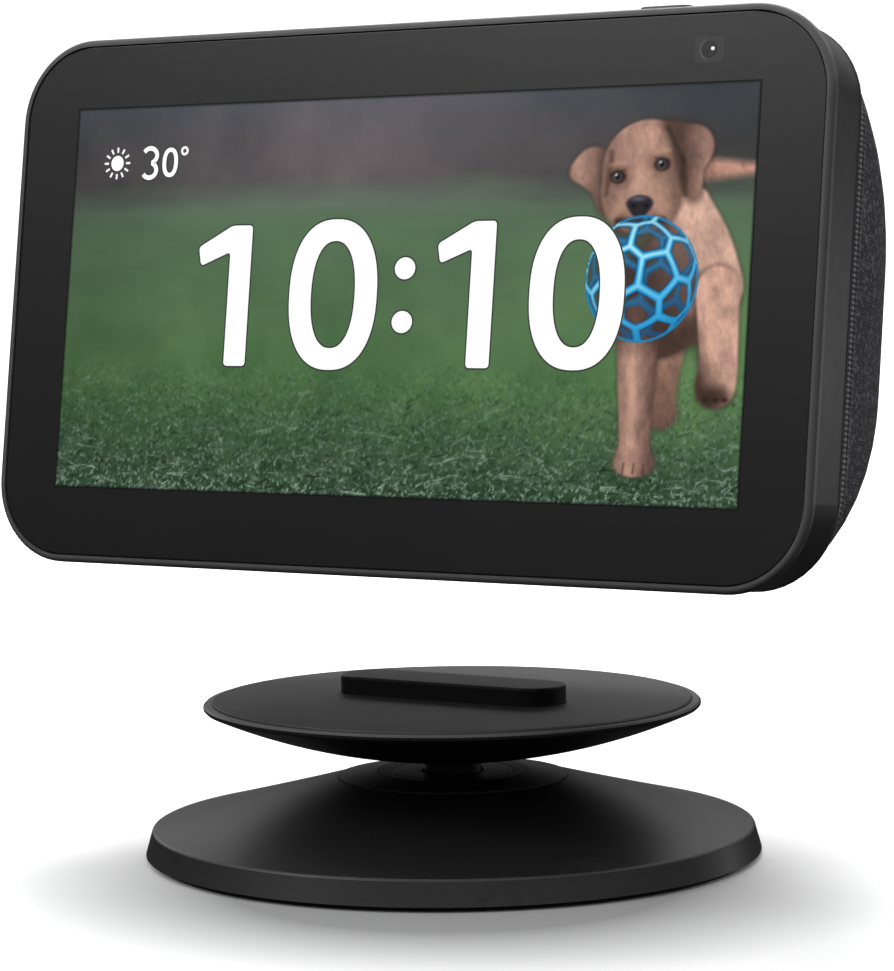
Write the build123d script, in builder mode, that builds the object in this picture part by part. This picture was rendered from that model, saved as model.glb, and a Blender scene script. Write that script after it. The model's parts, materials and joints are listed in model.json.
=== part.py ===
"""Smart display on a tilting, swivelling round stand, drawn lifted clear of its dock.

Row frame, millimetres: +Z up, the screen faces -Y, and the origin is on the stand's swivel axis at
floor level. The display is drawn on `face`, a plane on the front of its bezel, where local x runs
to the right, local y runs up the screen, and depth is measured backwards from the screen.
"""

from build123d import *
from math import cos, radians, sin
import os

os.makedirs("parts", exist_ok=True)

# ---------------------------------------------------------------- driving dimensions: stand
base_radius = 49.3
base_edge_radius = 48.2
base_edge_height = 4.7
base_wall = 2.2
collar_radius = 18.4
collar_edge_height = 12.5
cup_radius = 12.0
cup_height = 13.2
cap_radius = 9.65
cap_thickness = 0.68
foot_thickness = 0.8

tilt_axis_height = 10.5
pin_radius = 1.25
pin_length = 14.4
knuckle_width = 9.2
knuckle_radius = 4.05
ear_thickness = 2.3

plate_radius = 39.8
plate_height = 25.0
plate_edge = 1.1
dish_bottom = 15.7
dish_bottom_radius = 9.0
pad_thickness = 0.5
disc_thickness = 1.2
key_length, key_depth, key_height, key_corner = 40.0, 11.0, 2.9, 5.0

# ---------------------------------------------------------------- driving dimensions: display
display_width, display_height = 148.0, 86.0
corner_radius = 13.5
lean = 8.0
face_ahead_of_axis = 24.0
lift = 20.4
sole_below_face = 1.0
dock_gap = 0.05

lip = 1.2
bezel_depth = 1.5
band_depth = 11.0
wall = 2.2
glass_depth = 0.2
glass_thickness = 0.9
active_width, active_height = 125.0, 62.5
screen_centre = 43.4
screw_clearance = 0.1
run_clearance = 0.05

# (depth, width, lowest point, highest point, corner radius) of the cloth-covered back
back_sections = [
    (band_depth + 0.05, 146.0, 1.0, 85.0, 13.0),
    (20.0, 145.2, 1.9, 82.4, 19.0),
    (30.0, 140.0, 3.6, 77.5, 25.0),
    (40.0, 126.0, 6.4, 70.0, 27.0),
    (50.0, 98.0, 11.5, 59.5, 22.0),
    (58.0, 60.0, 20.5, 46.5, 12.5),
]
cloth_thickness = 0.9
shell_gap = 0.05

camera_x, camera_up = 53.6, 79.4
button_xs = {"mic_button": -30.0, "volume_down_button": -12.0, "volume_up_button": 6.0}
button_length, button_width, button_travel = 11.0, 4.4, 0.6
button_depth = 6.6
microphone_xs = (-44.0, 23.0)
shutter_x, shutter_travel = 44.0, 5.0
shutter_depth = 4.6

# ---------------------------------------------------------------- frames and small helpers
up_face = Vector(0, sin(radians(lean)), cos(radians(lean)))
out_face = Vector(0, -cos(radians(lean)), sin(radians(lean)))
sole_height = plate_height + dock_gap + lift
face_height = sole_height + sole_below_face
face = Plane(
    origin=(0, -face_ahead_of_axis, face_height), x_dir=(1, 0, 0), z_dir=out_face
)


def behind(depth):
    """The plane parallel to the screen at this depth."""
    return face.offset(-depth)


def across_top(height, depth=0.0):
    """A plane square to the screen at this height up it: local x to the right, local y to the rear."""
    return Plane(
        origin=face.origin + up_face * height - out_face * depth,
        x_dir=(1, 0, 0),
        z_dir=up_face,
    )


def write(piece, name):
    """Labels a finished piece and writes it as parts/NAME.step."""
    piece.part.label = name
    export_step(piece.part, f"parts/{name}.step")


def slab(depth, thickness, width, height, centre_up, radius=0.0, centre_x=0.0, mode=Mode.ADD):
    """A flat block parallel to the screen, between depth and depth + thickness."""
    with BuildSketch(behind(depth)) as outline:
        with Locations((centre_x, centre_up)):
            if radius:
                RectangleRounded(width, height, radius)
            else:
                Rectangle(width, height)
    extrude(outline.sketch, amount=-thickness, mode=mode)


def pins_at(points, radius, depth, length, mode=Mode.ADD):
    """Round pins, or holes with Mode.SUBTRACT, square to the screen."""
    with BuildSketch(behind(depth)) as outline:
        with Locations(*points):
            Circle(radius)
    extrude(outline.sketch, amount=-length, mode=mode)


def back_body(inset, mode=Mode.ADD):
    """The smooth body of the display's back, shrunk by inset on every side but the front."""
    outlines = []
    for depth, width, low, high, radius in back_sections:
        last = depth == back_sections[-1][0]
        with BuildSketch(behind(depth - (inset if last else 0))) as outline:
            with Locations((0, (low + high) / 2)):
                RectangleRounded(
                    width - 2 * inset, high - low - 2 * inset, radius - inset
                )
        outlines.append(outline.sketch)
    loft(outlines, mode=mode)


def screws(name, plane, points, shank_radius, length, head_radius, head_height):
    """Identical cross-head screws in one node; plane is the seat of the heads, +z out of the head."""
    with BuildPart() as group:
        with BuildSketch(plane):
            with Locations(*points):
                Circle(head_radius)
        extrude(amount=head_height)
        with BuildSketch(plane):
            with Locations(*points):
                Circle(shank_radius)
        extrude(amount=-length)
        with BuildSketch(plane.offset(head_height)):
            with Locations(*points):
                Rectangle(head_radius * 1.2, head_radius * 0.3)
                Rectangle(head_radius * 0.3, head_radius * 1.2)
        extrude(amount=-head_height * 0.55, mode=Mode.SUBTRACT)
    write(group, name)


# ---------------------------------------------------------------- stand: weighted base
base_screw_points = [
    (34 * cos(radians(a)), 34 * sin(radians(a))) for a in (30, 150, 270)
]
floor_top = 2.0
boss_radius, boss_height, boss_hole_depth = 3.0, 4.6, 3.8
base_screw_radius = 1.25
spindle_radius, spindle_bore, spindle_height, spindle_mouth = 12.8, 11.0, 3.8, 6.6

with BuildPart() as base_shell:
    with BuildSketch(Plane.XZ):
        with BuildLine():
            Polyline(
                (cup_radius + 0.1, cup_height - 0.2),
                (collar_radius + 0.1, collar_edge_height - 0.7),
                (collar_radius + 0.1, collar_edge_height - 0.2),
            )
            ThreePointArc(
                (collar_radius + 0.1, collar_edge_height - 0.2),
                (33.5, 8.35),
                (base_edge_radius, base_edge_height),
            )
            Polyline(
                (base_edge_radius, base_edge_height),
                (base_radius, foot_thickness),
                (base_radius - base_wall, foot_thickness),
                (base_edge_radius - base_wall, base_edge_height - 1.6),
                (collar_radius, collar_edge_height - 3.0),
                (cup_radius + 0.1, cup_height - 3.0),
                (cup_radius + 0.1, cup_height - 0.2),
            )
        make_face()
    revolve(axis=Axis.Z)
    # three screw bosses under the dome
    with BuildSketch(Plane.XY.offset(floor_top + 0.05)):
        with Locations(*base_screw_points):
            Circle(boss_radius)
    extrude(amount=boss_height)
    with BuildSketch(Plane.XY.offset(floor_top)):
        with Locations(*base_screw_points):
            Circle(base_screw_radius + screw_clearance)
    extrude(amount=boss_hole_depth, mode=Mode.SUBTRACT)
    rim_edges = base_shell.edges().filter_by(
        lambda e: abs(e.center().Z - base_edge_height) < 0.01
        and e.radius > base_edge_radius - 0.5
        if e.geom_type == GeomType.CIRCLE
        else False
    )
    fillet(rim_edges, radius=0.5)
write(base_shell, "base_shell")

with BuildPart() as base_collar:
    with BuildSketch(Plane.XZ):
        with BuildLine():
            Polyline(
                (cup_radius + 0.15, cup_height),
                (collar_radius, collar_edge_height),
                (collar_radius, collar_edge_height - 0.65),
                (cup_radius + 0.15, cup_height - 0.15),
                (cup_radius + 0.15, cup_height),
            )
        make_face()
    revolve(axis=Axis.Z)
write(base_collar, "base_collar")

with BuildPart() as ballast:
    with BuildSketch(Plane.XY.offset(floor_top + 0.1)):
        Circle(29.0)
        Circle(13.5, mode=Mode.SUBTRACT)
    extrude(amount=5.2)
    chamfer(ballast.edges().group_by(Axis.Z)[-1].sort_by(SortBy.RADIUS)[-1], 1.4)
write(ballast, "ballast_ring")

with BuildPart() as bottom_cover:
    with BuildSketch(Plane.XY.offset(foot_thickness + 0.02)):
        Circle(base_radius - base_wall - 0.6)
        with Locations(*base_screw_points):
            Circle(base_screw_radius + screw_clearance, mode=Mode.SUBTRACT)
    extrude(amount=floor_top - foot_thickness - 0.02)
    with BuildSketch(Plane.XY.offset(foot_thickness + 0.02)):
        with Locations(*base_screw_points):
            Circle(2.5)
    extrude(amount=0.62, mode=Mode.SUBTRACT)
    # spindle housing that carries the swivel cup
    with BuildSketch(Plane.XY.offset(floor_top)):
        Circle(spindle_radius)
        Circle(spindle_bore, mode=Mode.SUBTRACT)
    extrude(amount=spindle_height)
    with BuildSketch(Plane.XY.offset(floor_top + spindle_height - 1.4)):
        Circle(spindle_bore)
        Circle(spindle_mouth, mode=Mode.SUBTRACT)
    extrude(amount=1.4)
write(bottom_cover, "bottom_cover")

with BuildPart() as foot_pad:
    with BuildSketch(Plane.XY):
        Circle(base_radius - 1.2)
    extrude(amount=foot_thickness)
    fillet(foot_pad.edges().group_by(Axis.Z)[0].sort_by(SortBy.RADIUS)[-1], 0.25)
write(foot_pad, "foot_pad")

screws(
    "base_screws",
    Plane((0, 0, foot_thickness + 0.64), x_dir=(1, 0, 0), z_dir=(0, 0, -1)),
    [(x, -y) for x, y in base_screw_points],
    shank_radius=1.2,
    length=4.0,
    head_radius=2.3,
    head_height=0.6,
)

# ---------------------------------------------------------------- stand: swivel cup and hinge
ear_inner = knuckle_width / 2 + run_clearance
ear_radius = 1.95
swivel_screw_radius = 1.5
recess_floor = 6.4
cap_seat = cup_height - cap_thickness - 0.02

with BuildPart() as swivel_cup:
    with BuildSketch(Plane.XZ):
        with BuildLine():
            Polyline(
                (0, recess_floor),
                (6.4, recess_floor),
                (8.7, cap_seat),
                (cap_radius + run_clearance, cap_seat),
                (cap_radius + run_clearance, cup_height),
                (cup_radius, cup_height),
                (cup_radius, cup_height - 1.0),
                (10.6, floor_top + 3.9),
                (6.5, floor_top + 3.9),
                (6.5, floor_top + 2.35),
                (0, floor_top + 2.35),
                (0, recess_floor),
            )
        make_face()
    revolve(axis=Axis.Z)
    for side in (-1, 1):
        inner = side * ear_inner
        with BuildSketch(Plane((inner, 0, 0), x_dir=(0, 1, 0), z_dir=(side, 0, 0))):
            with Locations((0, side * tilt_axis_height)):
                Circle(ear_radius)
            with Locations((0, side * (tilt_axis_height + recess_floor) / 2)):
                Rectangle(2 * ear_radius, tilt_axis_height - recess_floor)
        extrude(amount=ear_thickness)
    with BuildSketch(Plane.YZ):
        with Locations((0, tilt_axis_height)):
            Circle(pin_radius + 0.02)
    extrude(amount=pin_length / 2, both=True, mode=Mode.SUBTRACT)
    with BuildSketch(Plane.XY.offset(floor_top + 1.0)):
        Circle(swivel_screw_radius + screw_clearance)
    extrude(amount=recess_floor, mode=Mode.SUBTRACT)
write(swivel_cup, "swivel_cup")

# cap over the hinge: its slot leaves the neck room to tilt
neck_room = 0.15
tilt_room = 1.3
with BuildPart() as neck_cap:
    with BuildSketch(Plane.XY.offset(cap_seat + 0.01)):
        Circle(cap_radius)
        SlotOverall(
            knuckle_width + 2 * neck_room + tilt_room,
            knuckle_width + 2 * neck_room,
            rotation=90,
            mode=Mode.SUBTRACT,
        )
    extrude(amount=cap_thickness)
    fillet(neck_cap.edges().group_by(Axis.Z)[-1], 0.2)
write(neck_cap, "neck_cap")

with BuildPart() as swivel_washer:
    with BuildSketch(Plane.XY.offset(floor_top + 1.9)):
        Circle(9.6)
        Circle(swivel_screw_radius + screw_clearance, mode=Mode.SUBTRACT)
    extrude(amount=0.42)
write(swivel_washer, "swivel_washer")

screws(
    "swivel_screw",
    Plane((0, 0, floor_top + 1.87), x_dir=(1, 0, 0), z_dir=(0, 0, -1)),
    [(0, 0)],
    shank_radius=swivel_screw_radius,
    length=2.3,
    head_radius=3.2,
    head_height=0.5,
)

with BuildPart() as hinge_pin:
    with BuildSketch(Plane.YZ):
        with Locations((0, tilt_axis_height)):
            Circle(pin_radius)
    extrude(amount=pin_length / 2 - 0.3, both=True)
    chamfer(hinge_pin.edges().filter_by(GeomType.CIRCLE), 0.2)
write(hinge_pin, "hinge_pin")

# ---------------------------------------------------------------- stand: tilting plate
dish_top = plate_height - pad_thickness - disc_thickness
pad_radius = plate_radius - 1.4
rim_top = plate_height - 0.4
disc_radius = plate_radius - 2.3
dish_floor = 1.8
neck_flange_radius, neck_flange_height = 8.6, 1.6
neck_screw_offset = 6.6
neck_screw_points = [(0, neck_screw_offset), (0, -neck_screw_offset)]
post_circle, post_radius, post_foot = 19.0, 2.4, 18.6
plate_screw_points = [
    (post_circle * cos(radians(a)), post_circle * sin(radians(a))) for a in (90, 210, 330)
]

with BuildPart() as plate_neck:
    # knuckle: a round neck whose lower end is turned about the pin
    with BuildSketch(Plane.XY.offset(tilt_axis_height - knuckle_radius)):
        Circle(knuckle_width / 2)
    extrude(amount=dish_bottom + dish_floor - tilt_axis_height + knuckle_radius)
    with BuildSketch(Plane.YZ):
        with Locations((0, tilt_axis_height)):
            Circle(knuckle_radius)
        with Locations((0, (tilt_axis_height + dish_bottom + dish_floor) / 2)):
            Rectangle(knuckle_width, dish_bottom + dish_floor - tilt_axis_height)
    extrude(amount=knuckle_width, both=True, mode=Mode.INTERSECT)
    with BuildSketch(Plane.XY.offset(dish_bottom + dish_floor)):
        Circle(neck_flange_radius)
    extrude(amount=neck_flange_height)
    with BuildSketch(Plane.YZ):
        with Locations((0, tilt_axis_height)):
            Circle(pin_radius + run_clearance)
    extrude(amount=pin_length / 2, both=True, mode=Mode.SUBTRACT)
    with BuildSketch(Plane.XY.offset(dish_bottom + dish_floor)):
        with Locations(*neck_screw_points):
            Circle(0.9)
    extrude(amount=neck_flange_height, mode=Mode.SUBTRACT)
write(plate_neck, "plate_neck")

with BuildPart() as plate_dish:
    with BuildSketch(Plane.XZ):
        with BuildLine():
            ThreePointArc(
                (dish_bottom_radius, dish_bottom), (25.0, 18.5), (plate_radius - 0.3, 23.6)
            )
            Polyline(
                (plate_radius - 0.3, 23.6),
                (plate_radius, 23.9),
                (plate_radius, rim_top - 0.3),
                (plate_radius - 0.3, rim_top),
                (pad_radius + 0.05, rim_top),
                (pad_radius + 0.05, plate_height - pad_thickness),
                (disc_radius + 0.1, plate_height - pad_thickness),
                (disc_radius + 0.1, dish_top),
                (disc_radius - 2.4, dish_top),
            )
            ThreePointArc(
                (disc_radius - 2.4, dish_top),
                (25.0, 20.4),
                (dish_bottom_radius + 0.4, dish_bottom + dish_floor - 0.1),
            )
            Polyline(
                (dish_bottom_radius + 0.4, dish_bottom + dish_floor - 0.1),
                (0, dish_bottom + dish_floor - 0.1),
                (0, dish_bottom),
                (dish_bottom_radius, dish_bottom),
            )
        make_face()
    revolve(axis=Axis.Z)
    with BuildSketch(Plane.XY.offset(dish_bottom)):
        Circle(knuckle_width / 2 + 0.1)
    extrude(amount=dish_floor, mode=Mode.SUBTRACT)
    with BuildSketch(Plane.XY.offset(dish_bottom)):
        with Locations(*neck_screw_points):
            Circle(0.8 + screw_clearance)
    extrude(amount=dish_floor, mode=Mode.SUBTRACT)
    # posts for the screws of the top disc
    with BuildSketch(Plane.XY.offset(post_foot)):
        with Locations(*plate_screw_points):
            Circle(post_radius)
    extrude(amount=dish_top - post_foot - 0.02)
    with BuildSketch(Plane.XY.offset(post_foot + 0.8)):
        with Locations(*plate_screw_points):
            Circle(0.9 + screw_clearance)
    extrude(amount=dish_top - post_foot - 0.8, mode=Mode.SUBTRACT)
write(plate_dish, "plate_dish")

screws(
    "neck_screws",
    Plane.XY.offset(dish_bottom + dish_floor + 1.65),
    neck_screw_points,
    shank_radius=0.75,
    length=3.0,
    head_radius=1.5,
    head_height=0.9,
)

with BuildPart() as plate_disc:
    with BuildSketch(Plane.XY.offset(dish_top + 0.02)):
        Circle(disc_radius)
    extrude(amount=disc_thickness - 0.04)
    with BuildSketch(Plane.XY.offset(dish_top + disc_thickness - 0.02)):
        RectangleRounded(key_length, key_depth, key_corner)
    extrude(amount=pad_thickness + key_height)
    fillet(plate_disc.edges().group_by(Axis.Z)[-1], 0.45)
    with BuildSketch(Plane.XY.offset(dish_top)):
        with Locations(*plate_screw_points):
            Circle(0.9 + screw_clearance)
    extrude(amount=1.3, mode=Mode.SUBTRACT)
    with BuildSketch(Plane.XY.offset(dish_top + 0.5)):
        with Locations(*plate_screw_points):
            Circle(1.9)
    extrude(amount=0.8, mode=Mode.SUBTRACT)
write(plate_disc, "plate_disc")

screws(
    "plate_screws",
    Plane.XY.offset(dish_top + 0.54),
    plate_screw_points,
    shank_radius=0.85,
    length=3.0,
    head_radius=1.75,
    head_height=0.6,
)

with BuildPart() as plate_pad:
    with BuildSketch(Plane.XY.offset(plate_height - pad_thickness + 0.02)):
        Circle(pad_radius)
        RectangleRounded(key_length + 0.2, key_depth + 0.2, key_corner + 0.1, mode=Mode.SUBTRACT)
    extrude(amount=pad_thickness - 0.02)
    outer_edges = plate_pad.edges().filter_by(GeomType.CIRCLE).sort_by(SortBy.RADIUS)[-2:]
    fillet(outer_edges.sort_by(Axis.Z)[-1], 0.25)
write(plate_pad, "plate_pad")

magnet_radius, magnet_height = 3.0, 2.0
magnet_xs, magnet_y = (-21.0, -7.0, 7.0, 21.0), 10.5
screw_spacing = 7.0
magnet_points = [
    (x, y)
    for x in magnet_xs
    for y in (-magnet_y, magnet_y)
    if all(abs(x - sx) + abs(y - sy) > screw_spacing for sx, sy in plate_screw_points)
]
with BuildPart() as plate_magnets:
    with BuildSketch(Plane.XY.offset(dish_top - magnet_height)):
        with Locations(*magnet_points):
            Circle(magnet_radius)
    extrude(amount=magnet_height - 0.02)
write(plate_magnets, "plate_magnets")


# ---------------------------------------------------------------- display: front
glass_width, glass_height = display_width - 2 * lip, display_height - 2 * lip
glass_radius = corner_radius - lip
middle = display_height / 2
glass_back = glass_depth + glass_thickness
ledge_width, ledge_height = 138.0, 76.0

with BuildPart() as front_bezel:
    slab(0, bezel_depth, display_width, display_height, middle, corner_radius)
    fillet(front_bezel.faces().sort_by(Axis(face.origin, out_face))[-1].edges(), 0.7)
    slab(0, glass_back + 0.1, glass_width + 0.2, glass_height + 0.2, middle,
         glass_radius + 0.1, mode=Mode.SUBTRACT)
    slab(0, bezel_depth, ledge_width, ledge_height, middle, 9.0, mode=Mode.SUBTRACT)
write(front_bezel, "front_bezel")

with BuildPart() as cover_glass:
    slab(glass_depth, glass_thickness, glass_width, glass_height, middle, glass_radius)
    fillet(cover_glass.faces().sort_by(Axis(face.origin, out_face))[-1].edges(), 0.2)
write(cover_glass, "cover_glass")

with BuildPart() as touch_film:
    slab(glass_back + 0.05, 0.25, active_width + 5, active_height + 3.5, screen_centre, 1.0)
write(touch_film, "touch_film")

lcd_depth = glass_back + 0.35
with BuildPart() as lcd_panel:
    slab(lcd_depth, 1.3, active_width + 5, active_height + 4.5, screen_centre - 0.5, 0.8)
write(lcd_panel, "lcd_panel")

tray_depth = lcd_depth + 1.35
with BuildPart() as backlight_tray:
    slab(tray_depth, 2.0, active_width + 6, active_height + 5.5, screen_centre - 0.5, 1.0)
    slab(tray_depth, 0.2, active_width + 4, active_height + 3.5, screen_centre - 0.5, 0.8,
         mode=Mode.SUBTRACT)
    for up in (20.0, 42.0, 64.0):
        slab(tray_depth + 1.8, 0.2, 96.0, 8.0, up, 2.0, mode=Mode.SUBTRACT)
write(backlight_tray, "backlight_tray")

# ---------------------------------------------------------------- display: side band and top controls
band_front = bezel_depth + 0.02
tongue = 0.3
tongue_step = 1.2
frame_screw_points = [(x, v) for x in (-67.6, 67.6) for v in (13.0, 70.0)]
frame_depth = 8.0
frame_thickness = 1.6
ear_depth = frame_depth + frame_thickness + 0.05
boss_depth = 5.5


def band_ring(depth):
    """Outline of the side band at a depth: it narrows a little towards the back."""
    back = (depth - band_front) / (band_depth - band_front)
    with BuildSketch(behind(depth)) as outline:
        with Locations((0, middle)):
            RectangleRounded(
                display_width - 0.3 - 1.7 * back,
                display_height - 0.3 - 1.7 * back,
                corner_radius - 0.1 - 0.4 * back,
            )
    return outline.sketch


with BuildPart() as side_band:
    slab(band_front, tongue, display_width - tongue_step, display_height - tongue_step, middle,
         corner_radius - tongue_step / 2)
    loft([band_ring(band_front + tongue), band_ring(band_depth)])
    slab(0, band_depth + 1, display_width - 2 * wall - 0.6, display_height - 2 * wall - 0.6,
         middle, corner_radius - wall, mode=Mode.SUBTRACT)
    # screw bosses on the side walls
    for x, v in frame_screw_points:
        slab(boss_depth, frame_depth - 0.05 - boss_depth, 9.4, 7.0, v, 1.5, x)
    pins_at(frame_screw_points, 1.0 + screw_clearance, 5.0, 4.0, Mode.SUBTRACT)
    # openings for the buttons, the shutter knob and the microphones
    for x in button_xs.values():
        with BuildSketch(across_top(display_height - 6)):
            with Locations((x, button_depth)):
                SlotOverall(button_length + 0.3, button_width + 0.3)
        extrude(amount=8, mode=Mode.SUBTRACT)
    with BuildSketch(across_top(display_height - 6)):
        with Locations((shutter_x + shutter_travel / 2, shutter_depth)):
            SlotOverall(4.4 + shutter_travel, 1.5)
    extrude(amount=8, mode=Mode.SUBTRACT)
    with BuildSketch(across_top(display_height - 6)):
        with Locations(*[(x, button_depth) for x in microphone_xs]):
            Circle(0.6)
    extrude(amount=8, mode=Mode.SUBTRACT)
write(side_band, "side_band")

cap_top = display_height + 0.1
wall_under = display_height - wall - 0.55
for name, x in button_xs.items():
    with BuildPart() as button:
        with BuildSketch(across_top(wall_under - 0.2)):
            with Locations((x, button_depth)):
                SlotOverall(button_length, button_width)
        extrude(amount=cap_top - wall_under + 0.2)
        fillet(button.faces().sort_by(Axis(face.origin, up_face))[-1].edges(), 0.5)
        with BuildSketch(across_top(wall_under - 1.1)):
            with Locations((x, button_depth)):
                SlotOverall(button_length + 1.6, button_width + 1.2)
        extrude(amount=0.9)
        with BuildSketch(across_top(wall_under - 2.2)):
            with Locations((x, button_depth)):
                Circle(1.1)
        extrude(amount=1.1)
    write(button, name)

switch_top = wall_under - 2.2 - button_travel - 0.05
with BuildPart() as tact_switches:
    for x in button_xs.values():
        with BuildSketch(across_top(switch_top - 1.9)):
            with Locations((x, button_depth)):
                Rectangle(4.2, 3.0)
        extrude(amount=1.5)
        with BuildSketch(across_top(switch_top - 0.4)):
            with Locations((x, button_depth)):
                Circle(0.9)
        extrude(amount=0.4)
write(tact_switches, "tact_switches")

with BuildPart() as button_board:
    with BuildSketch(across_top(switch_top - 2.75)):
        with Locations((-10.5, button_depth)):
            Rectangle(74.0, 3.4)
    extrude(amount=0.8)
write(button_board, "button_board")

with BuildPart() as microphones:
    for x in microphone_xs:
        with BuildSketch(across_top(switch_top - 1.9)):
            with Locations((x, button_depth)):
                Rectangle(3.0, 2.6)
        extrude(amount=1.0)
write(microphones, "microphones")

# ---------------------------------------------------------------- display: camera and its shutter
with BuildPart() as camera_module:
    slab(3.2, 3.2, 6.4, 4.6, camera_up, 0.6, camera_x)
    pins_at([(camera_x, camera_up)], 2.0, 2.1, 1.1)
    pins_at([(camera_x, camera_up)], 1.3, 2.1, 0.9, Mode.SUBTRACT)
write(camera_module, "camera_module")

with BuildPart() as camera_lens:
    pins_at([(camera_x, camera_up)], 1.25, 2.35, 0.6)
    fillet(camera_lens.faces().sort_by(Axis(face.origin, out_face))[-1].edges(), 0.3)
write(camera_lens, "camera_lens")

shelf_up = 80.2
with BuildPart() as shutter_blade:
    slab(1.5, 0.3, 9.6, shelf_up + 0.7 - 77.6, (shelf_up + 0.7 + 77.6) / 2, 0, 45.6)
    with BuildSketch(across_top(shelf_up, 1.5)):
        with Locations((shutter_x, (shutter_depth - 1.5 + 0.7) / 2)):
            Rectangle(2.6, shutter_depth - 1.5 + 0.7)
    extrude(amount=0.7)
    with BuildSketch(across_top(shelf_up + 0.7, shutter_depth)):
        with Locations((shutter_x, 0)):
            Rectangle(2.6, 1.2)
    extrude(amount=1.3)
write(shutter_blade, "shutter_blade")

with BuildPart() as shutter_knob:
    with BuildSketch(across_top(display_height - 0.05)):
        with Locations((shutter_x, shutter_depth)):
            SlotOverall(9.0, 3.4)
    extrude(amount=1.0)
    fillet(shutter_knob.faces().sort_by(Axis(face.origin, up_face))[-1].edges(), 0.4)
    with BuildSketch(across_top(shelf_up + 2.02)):
        with Locations((shutter_x, shutter_depth)):
            Rectangle(2.6, 1.2)
    extrude(amount=display_height - 0.05 - shelf_up - 2.02)
    for i in range(5):
        with BuildSketch(across_top(display_height + 0.7)):
            with Locations((shutter_x - 2 + i, shutter_depth)):
                Rectangle(0.35, 2.2)
        extrude(amount=1.0, mode=Mode.SUBTRACT)
write(shutter_knob, "shutter_knob")

# ---------------------------------------------------------------- display: inner frame and electronics
board_front = 12.1
board_thickness = 1.2
board_back = board_front + board_thickness
board_screw_points = [(x, v) for x in (-44.0, 44.0) for v in (28.0, 66.0)]
speaker_up = 44.0
speaker_screw_points = [(-27.0, speaker_up), (27.0, speaker_up)]
backwards = Plane(face.origin, x_dir=(-1, 0, 0), z_dir=-out_face)


def from_behind(depth):
    """The plane at this depth seen from behind: local x runs to the left."""
    return backwards.offset(depth)


with BuildPart() as inner_frame:
    slab(frame_depth, frame_thickness, 142.0, 70.0, 41.5, 10.0)
    # ledges that carry the button board and the camera
    slab(6.5, frame_depth + frame_thickness - 6.5, 74.0, 2.0, 76.6, 0, -10.5)
    slab(6.45, frame_depth + frame_thickness - 6.45, 8.0, 6.5, 77.75, 0, camera_x)
    for x in (-55.0, 55.0):
        slab(frame_depth, frame_thickness, 12.0, 26.0, 58.0, 3.0, x, Mode.SUBTRACT)
    slab(frame_depth, frame_thickness, 24.0, 4.0, 14.0, 1.5, 0, Mode.SUBTRACT)
    pins_at(frame_screw_points, 1.0 + screw_clearance, frame_depth, frame_thickness, Mode.SUBTRACT)
    pins_at(board_screw_points, 2.4, frame_depth, board_front - frame_depth - 0.05)
    pins_at(speaker_screw_points, 2.5, frame_depth, 29.95 - frame_depth)
    pins_at(board_screw_points, 0.8 + screw_clearance, frame_depth, 6.0, Mode.SUBTRACT)
    pins_at(speaker_screw_points, 0.8 + screw_clearance, 22.0, 9.0, Mode.SUBTRACT)
write(inner_frame, "inner_frame")

with BuildPart() as heat_spreader:
    slab(frame_depth + frame_thickness + 0.05, 1.05, 46.0, 34.0, 47.0, 2.0)
write(heat_spreader, "heat_spreader")

with BuildPart() as main_board:
    slab(board_front, board_thickness, 96.0, 46.0, 47.0, 1.5)
    pins_at(board_screw_points, 0.8 + screw_clearance, board_front, 2.0, Mode.SUBTRACT)
    pins_at(speaker_screw_points, 3.0, board_front, 2.0, Mode.SUBTRACT)
write(main_board, "main_board")

with BuildPart() as board_chips:
    slab(board_front - 1.35, 1.3, 14.0, 14.0, 47.0, 0.3)
    slab(board_front - 1.05, 1.0, 9.0, 11.0, 47.0, 0.3, 15.0)
    slab(board_front - 1.05, 1.0, 7.0, 7.0, 47.0, 0.3, -14.0)
    slab(board_back + 0.05, 2.6, 9.0, 5.0, 32.0, 0.4, 36.0)
write(board_chips, "board_chips")

with BuildPart() as shield_can:
    slab(board_back + 0.05, 2.0, 28.0, 15.0, 60.0, 1.0, -22.0)
    slab(board_back + 0.05, 1.8, 27.6, 14.6, 60.0, 0.8, -22.0, Mode.SUBTRACT)
write(shield_can, "shield_can")

screws("board_screws", from_behind(board_back + 0.05), board_screw_points,
       shank_radius=0.8, length=3.4, head_radius=1.7, head_height=0.8)
screws("frame_screws", behind(boss_depth - 0.05), frame_screw_points,
       shank_radius=1.0, length=6.1, head_radius=1.9, head_height=1.1)

with BuildPart() as lcd_ribbon:
    with BuildSketch(Plane(face.origin, x_dir=-out_face, z_dir=(1, 0, 0))):
        with BuildLine():
            Polyline((5.3, 30), (5.3, 13.9), (11.85, 13.9), (11.85, 27), (12.0, 27), (12.0, 13.75))
            Polyline((12.0, 13.75), (5.15, 13.75), (5.15, 30), (5.3, 30))
        make_face()
    extrude(amount=9, both=True)
write(lcd_ribbon, "lcd_ribbon")

with BuildPart() as antennas:
    for x in (-57.0, 57.0):
        slab(frame_depth + frame_thickness + 0.05, 0.6, 7.0, 24.0, 28.0, 1.0, x)
write(antennas, "antennas")

# ---------------------------------------------------------------- display: loudspeaker, firing backwards
speaker_plane = across_top(speaker_up)
speaker_axis = Axis(speaker_plane.origin, -out_face)


def turned(points, mode=Mode.ADD):
    """A body turned about the speaker axis from (radius, depth) points."""
    with BuildSketch(speaker_plane) as profile:
        with BuildLine():
            Polyline(*points, close=True)
        make_face()
    revolve(profile.sketch, axis=speaker_axis, mode=mode)


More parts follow.
